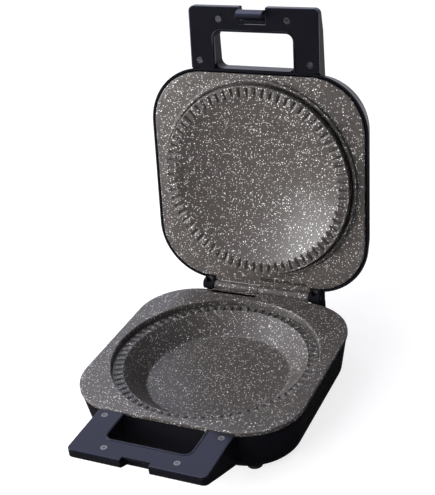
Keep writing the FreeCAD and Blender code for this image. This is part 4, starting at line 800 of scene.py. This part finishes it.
class Handles(bpy.types.Operator):
    """Finish of the handle covers and the latch, and the bead round each finger opening"""

    bl_idname = "pie.handles"
    bl_label = "Handles and latch"

    def execute(self, context):
        sizes = plates()
        plastic = moulded_plastic("handle_plastic", low=0.06, high=0.11, gloss=0.65, grain_size=0.0007,
                                  grain_depth=0.00002)
        dress(["lower_handle_cover", "upper_handle_cover", "latch"], plastic)
        margin = 0.001
        upper_setback = 0.003
        rear = COVER_HIGH.y - margin
        lower = opening_bead(COVER_LOW.y + sizes.lower_rail, rear, COVER_HIGH.z, 1)
        upper = opening_bead(sizes.upper_opening, rear - upper_setback, sizes.upper_cover, -1)
        new_piece("lower_opening_bead", [lower], plastic, "base", [])
        new_piece("upper_opening_bead", [open_lid(upper)], plastic, "lid", [])
        return {"FINISHED"}


class Fasteners(bpy.types.Operator):
    """Finish of the screws and pins"""

    bl_idname = "pie.fasteners"
    bl_label = "Screws and pins"

    def execute(self, context):
        tones = finishes()
        dress(["lower_handle_screws", "upper_handle_screws", "base_screws", "hinge_pin"],
              metal("blackened_steel", tones.dark_steel, low=0.22, high=0.4, streak=4))
        dress(["ear_screws", "latch_pin", "lower_shield_screw", "upper_shield_screw"],
              metal("ground_steel", tones.steel, low=0.22, high=0.35, streak=9))
        return {"FINISHED"}


class RubberParts(bpy.types.Operator):
    """Finish of the feet and the cord inlet's bushing"""

    bl_idname = "pie.rubber_parts"
    bl_label = "Rubber parts"

    def execute(self, context):
        feet = [name for name in frame["nodes"] if name.startswith("foot_")]
        dress([*feet, "inlet_bushing"],
              matt("rubber", finishes().rubber, size=0.0006, depth=0.0001, rough=0.7))
        return {"FINISHED"}


class HeatingParts(bpy.types.Operator):
    """Finish of the elements, shields, controls and wires inside"""

    bl_idname = "pie.heating_parts"
    bl_label = "Heating parts"

    def execute(self, context):
        tones = finishes()
        dress(["lower_element", "upper_element"],
              metal("element_sheath", tones.sheath, low=0.45, high=0.6, streak=3))
        dress(["lower_shield", "upper_shield"],
              metal("shield_sheet", tones.sheet, low=0.3, high=0.45, streak=12))
        dress(["thermostat", "lid_cutout", "thermal_fuse", "terminal_block"],
              matt("ceramic", tones.ceramic, size=0.002, depth=0.00005, rough=0.5))
        dress(["base_wires", "lid_wires"],
              matt("sleeving", tones.sleeve, size=0.0005, depth=0.0001, rough=0.75))
        return {"FINISHED"}


class Lights(bpy.types.Operator):
    """Finish of the two light lenses and their lamps"""

    bl_idname = "pie.lights"
    bl_label = "Lights"

    def execute(self, context):
        tones = finishes()
        dress(["power_light_lens"], lens("red_lens", tones.red))
        dress(["ready_light_lens"], lens("green_lens", tones.green))
        dress(["power_lamp", "ready_lamp"], lens("lamp_glass", tones.glass))
        return {"FINISHED"}


def aimed(place, back, up):
    """A matrix at a place whose own Z points back and whose own Y leans up."""
    back = np.array(back) / np.linalg.norm(back)
    right = np.cross(up, back)
    right = right / np.linalg.norm(right)
    axes = np.column_stack([right, np.cross(back, right), back])
    return Matrix(np.block([[axes, np.array([place]).T], [np.zeros((1, 3)), np.ones((1, 1))]]).tolist())


def area_lamp(name, place, target, size, power, mirrored=True):
    """A soft square lamp, aimed at a target. One that isn't mirrored leaves no glare on glossy pieces."""
    lamp = bpy.data.lights.new(name, "AREA")
    lamp.size = size
    lamp.energy = power
    holder = bpy.data.objects.new(name, lamp)
    holder.visible_glossy = mirrored
    direction = np.array(target) - np.array(place)
    holder.matrix_world = aimed(place, -direction, (0, 0, 1))
    bpy.context.scene.collection.objects.link(holder)


class Stage(bpy.types.Operator):
    """Floor, lamps, surrounding light and camera"""

    bl_idname = "pie.stage"
    bl_label = "Stage"

    def execute(self, context):
        scene = context.scene
        studio = scene.pie_studio
        self.floor()
        self.sky(studio)
        dome = (0, 0.1, 0.15)
        dish = (0, 0, 0.1)
        area_lamp("left_lamp", place=(-1.2, -0.75, 0.42), target=dome, size=0.8, power=studio.left_power,
                  mirrored=False)
        area_lamp("left_softbox", place=(-1.3, -0.7, 0.36), target=dome, size=1.1, power=studio.softbox_power)
        area_lamp("top_lamp", place=(-0.55, 0.35, 1.5), target=dish, size=0.8, power=studio.top_power)
        area_lamp("front_lamp", place=(-0.5, -1.3, 0.75), target=dome, size=0.8, power=studio.front_power,
                  mirrored=False)
        self.camera(studio)
        scene.view_settings.view_transform = "Standard"
        return {"FINISHED"}

    def floor(self):
        """A wide floor that glows white to the camera and keeps the part's shadow.

        In reflections it is dim, apart from a brighter stretch behind the part, to the right.
        """
        half = 6.0
        right_rear = (0.5, 0.87, 0)
        glow_share = 0.62
        corners = [(-half, -half, 0), (half, -half, 0), (half, half, 0), (-half, half, 0)]
        mesh = bpy.data.meshes.new("floor")
        mesh.from_pydata(corners, [], [(0, 1, 2, 3)])
        looks = Looks(bpy.data.materials.new("floor"))
        patch = looks.noise(size=0.6)
        seen = looks.node("ShaderNodeLightPath", output="Is Camera Ray")
        mirrored = seen.output("Is Glossy Ray") + seen.output("Is Transmission Ray")
        behind = looks.along(looks.place(), right_rear)
        lit = looks.between(behind, low=0.55, high=0.9, start=0.02, end=0.4)
        tone = looks.mix(patch, rgba(finishes().floor, 0.98), rgba(finishes().floor))
        looks.surface(Base_Color=looks.mix(mirrored * (1.0 - lit), tone, BLACK), Roughness=0.9,
                      Specular_IOR_Level=0)
        glow = looks.node("ShaderNodeEmission", None, {"Color": WHITE, "Strength": 1.27})
        shaded = Socket(looks, looks.find("BSDF_PRINCIPLED").outputs[0])
        shares = {0: (seen + mirrored * lit) * glow_share, 1: shaded, 2: glow}
        both = looks.node("ShaderNodeMixShader", None, shares)
        looks.feed(looks.find("OUTPUT_MATERIAL"), {"Surface": both})
        mesh.materials.append(looks.owner)
        floor = bpy.data.objects.new("floor", mesh)
        bpy.context.scene.collection.objects.link(floor)

    def sky(self, studio):
        """White to the camera, and a soft light on the part, bright from the left and rear, dim elsewhere."""
        left_rear = (-0.7, 0.55, 0.45)
        cool_white = (0.86, 0.87, 1, 1)
        looks = Looks(bpy.data.worlds.new("studio"))
        bpy.context.scene.world = looks.owner
        way = looks.node("ShaderNodeTexCoord", output="Generated")
        side = looks.along(way, left_rear)
        soft = looks.between(side, low=-0.1, high=0.6, start=studio.dim, end=studio.bright)
        seen = looks.node("ShaderNodeLightPath", output="Is Camera Ray")
        looks.feed(looks.find("BACKGROUND"), {"Color": looks.mix(seen, cool_white, WHITE),
                                              "Strength": soft + seen * (1.0 - soft)})

    def camera(self, studio):
        """The photograph's view: placed, turned by azimuth and elevation, and rolled about its own axis."""
        lens_data = bpy.data.cameras.new("camera")
        lens_data.lens = studio.lens
        lens_data.clip_end = 20
        az, el = studio.azimuth, studio.elevation
        back = np.array([math.sin(az) * math.cos(el), -math.cos(az) * math.cos(el), math.sin(el)])
        right = np.array([math.cos(az), math.sin(az), 0])
        up = np.cross(back, right)
        camera = bpy.data.objects.new("camera", lens_data)
        rolled_up = math.cos(studio.roll) * up - math.sin(studio.roll) * right
        camera.matrix_world = aimed(studio.place, back, rolled_up)
        bpy.context.scene.collection.objects.link(camera)
        bpy.context.scene.camera = camera


PIECES = (LowerPlate, UpperPlate, Housings, Handles, Fasteners, RubberParts, HeatingParts, Lights, Stage)


class PiePanel(bpy.types.Panel):
    """The pieces, in the sidebar of the 3D view"""

    bl_idname = "VIEW3D_PT_pie_maker"
    bl_label = "Pie maker"
    bl_space_type = "VIEW_3D"
    bl_region_type = "UI"
    bl_category = "Pie maker"

    def draw(self, context):
        for piece in PIECES:
            self.layout.operator(piece.bl_idname)


GROUPS = {"pie_plates": PlateSizes, "pie_finishes": Finishes, "pie_studio": Studio}


def register():
    """Register the classes and give the scene its property groups."""
    for made in (*GROUPS.values(), *PIECES, PiePanel):
        bpy.utils.register_class(made)
    for name, group in GROUPS.items():
        setattr(bpy.types.Scene, name, PointerProperty(type=group))


def unregister():
    """Undo what register did."""
    for name in GROUPS:
        delattr(bpy.types.Scene, name)
    for made in (PiePanel, *reversed(PIECES), *reversed(GROUPS.values())):
        bpy.utils.unregister_class(made)


def main():
    """Make every piece in order."""
    register()
    for piece in PIECES:
        group, name = piece.bl_idname.split(".")
        getattr(getattr(bpy.ops, group), name)()


if __name__ == "__main__":
    main()
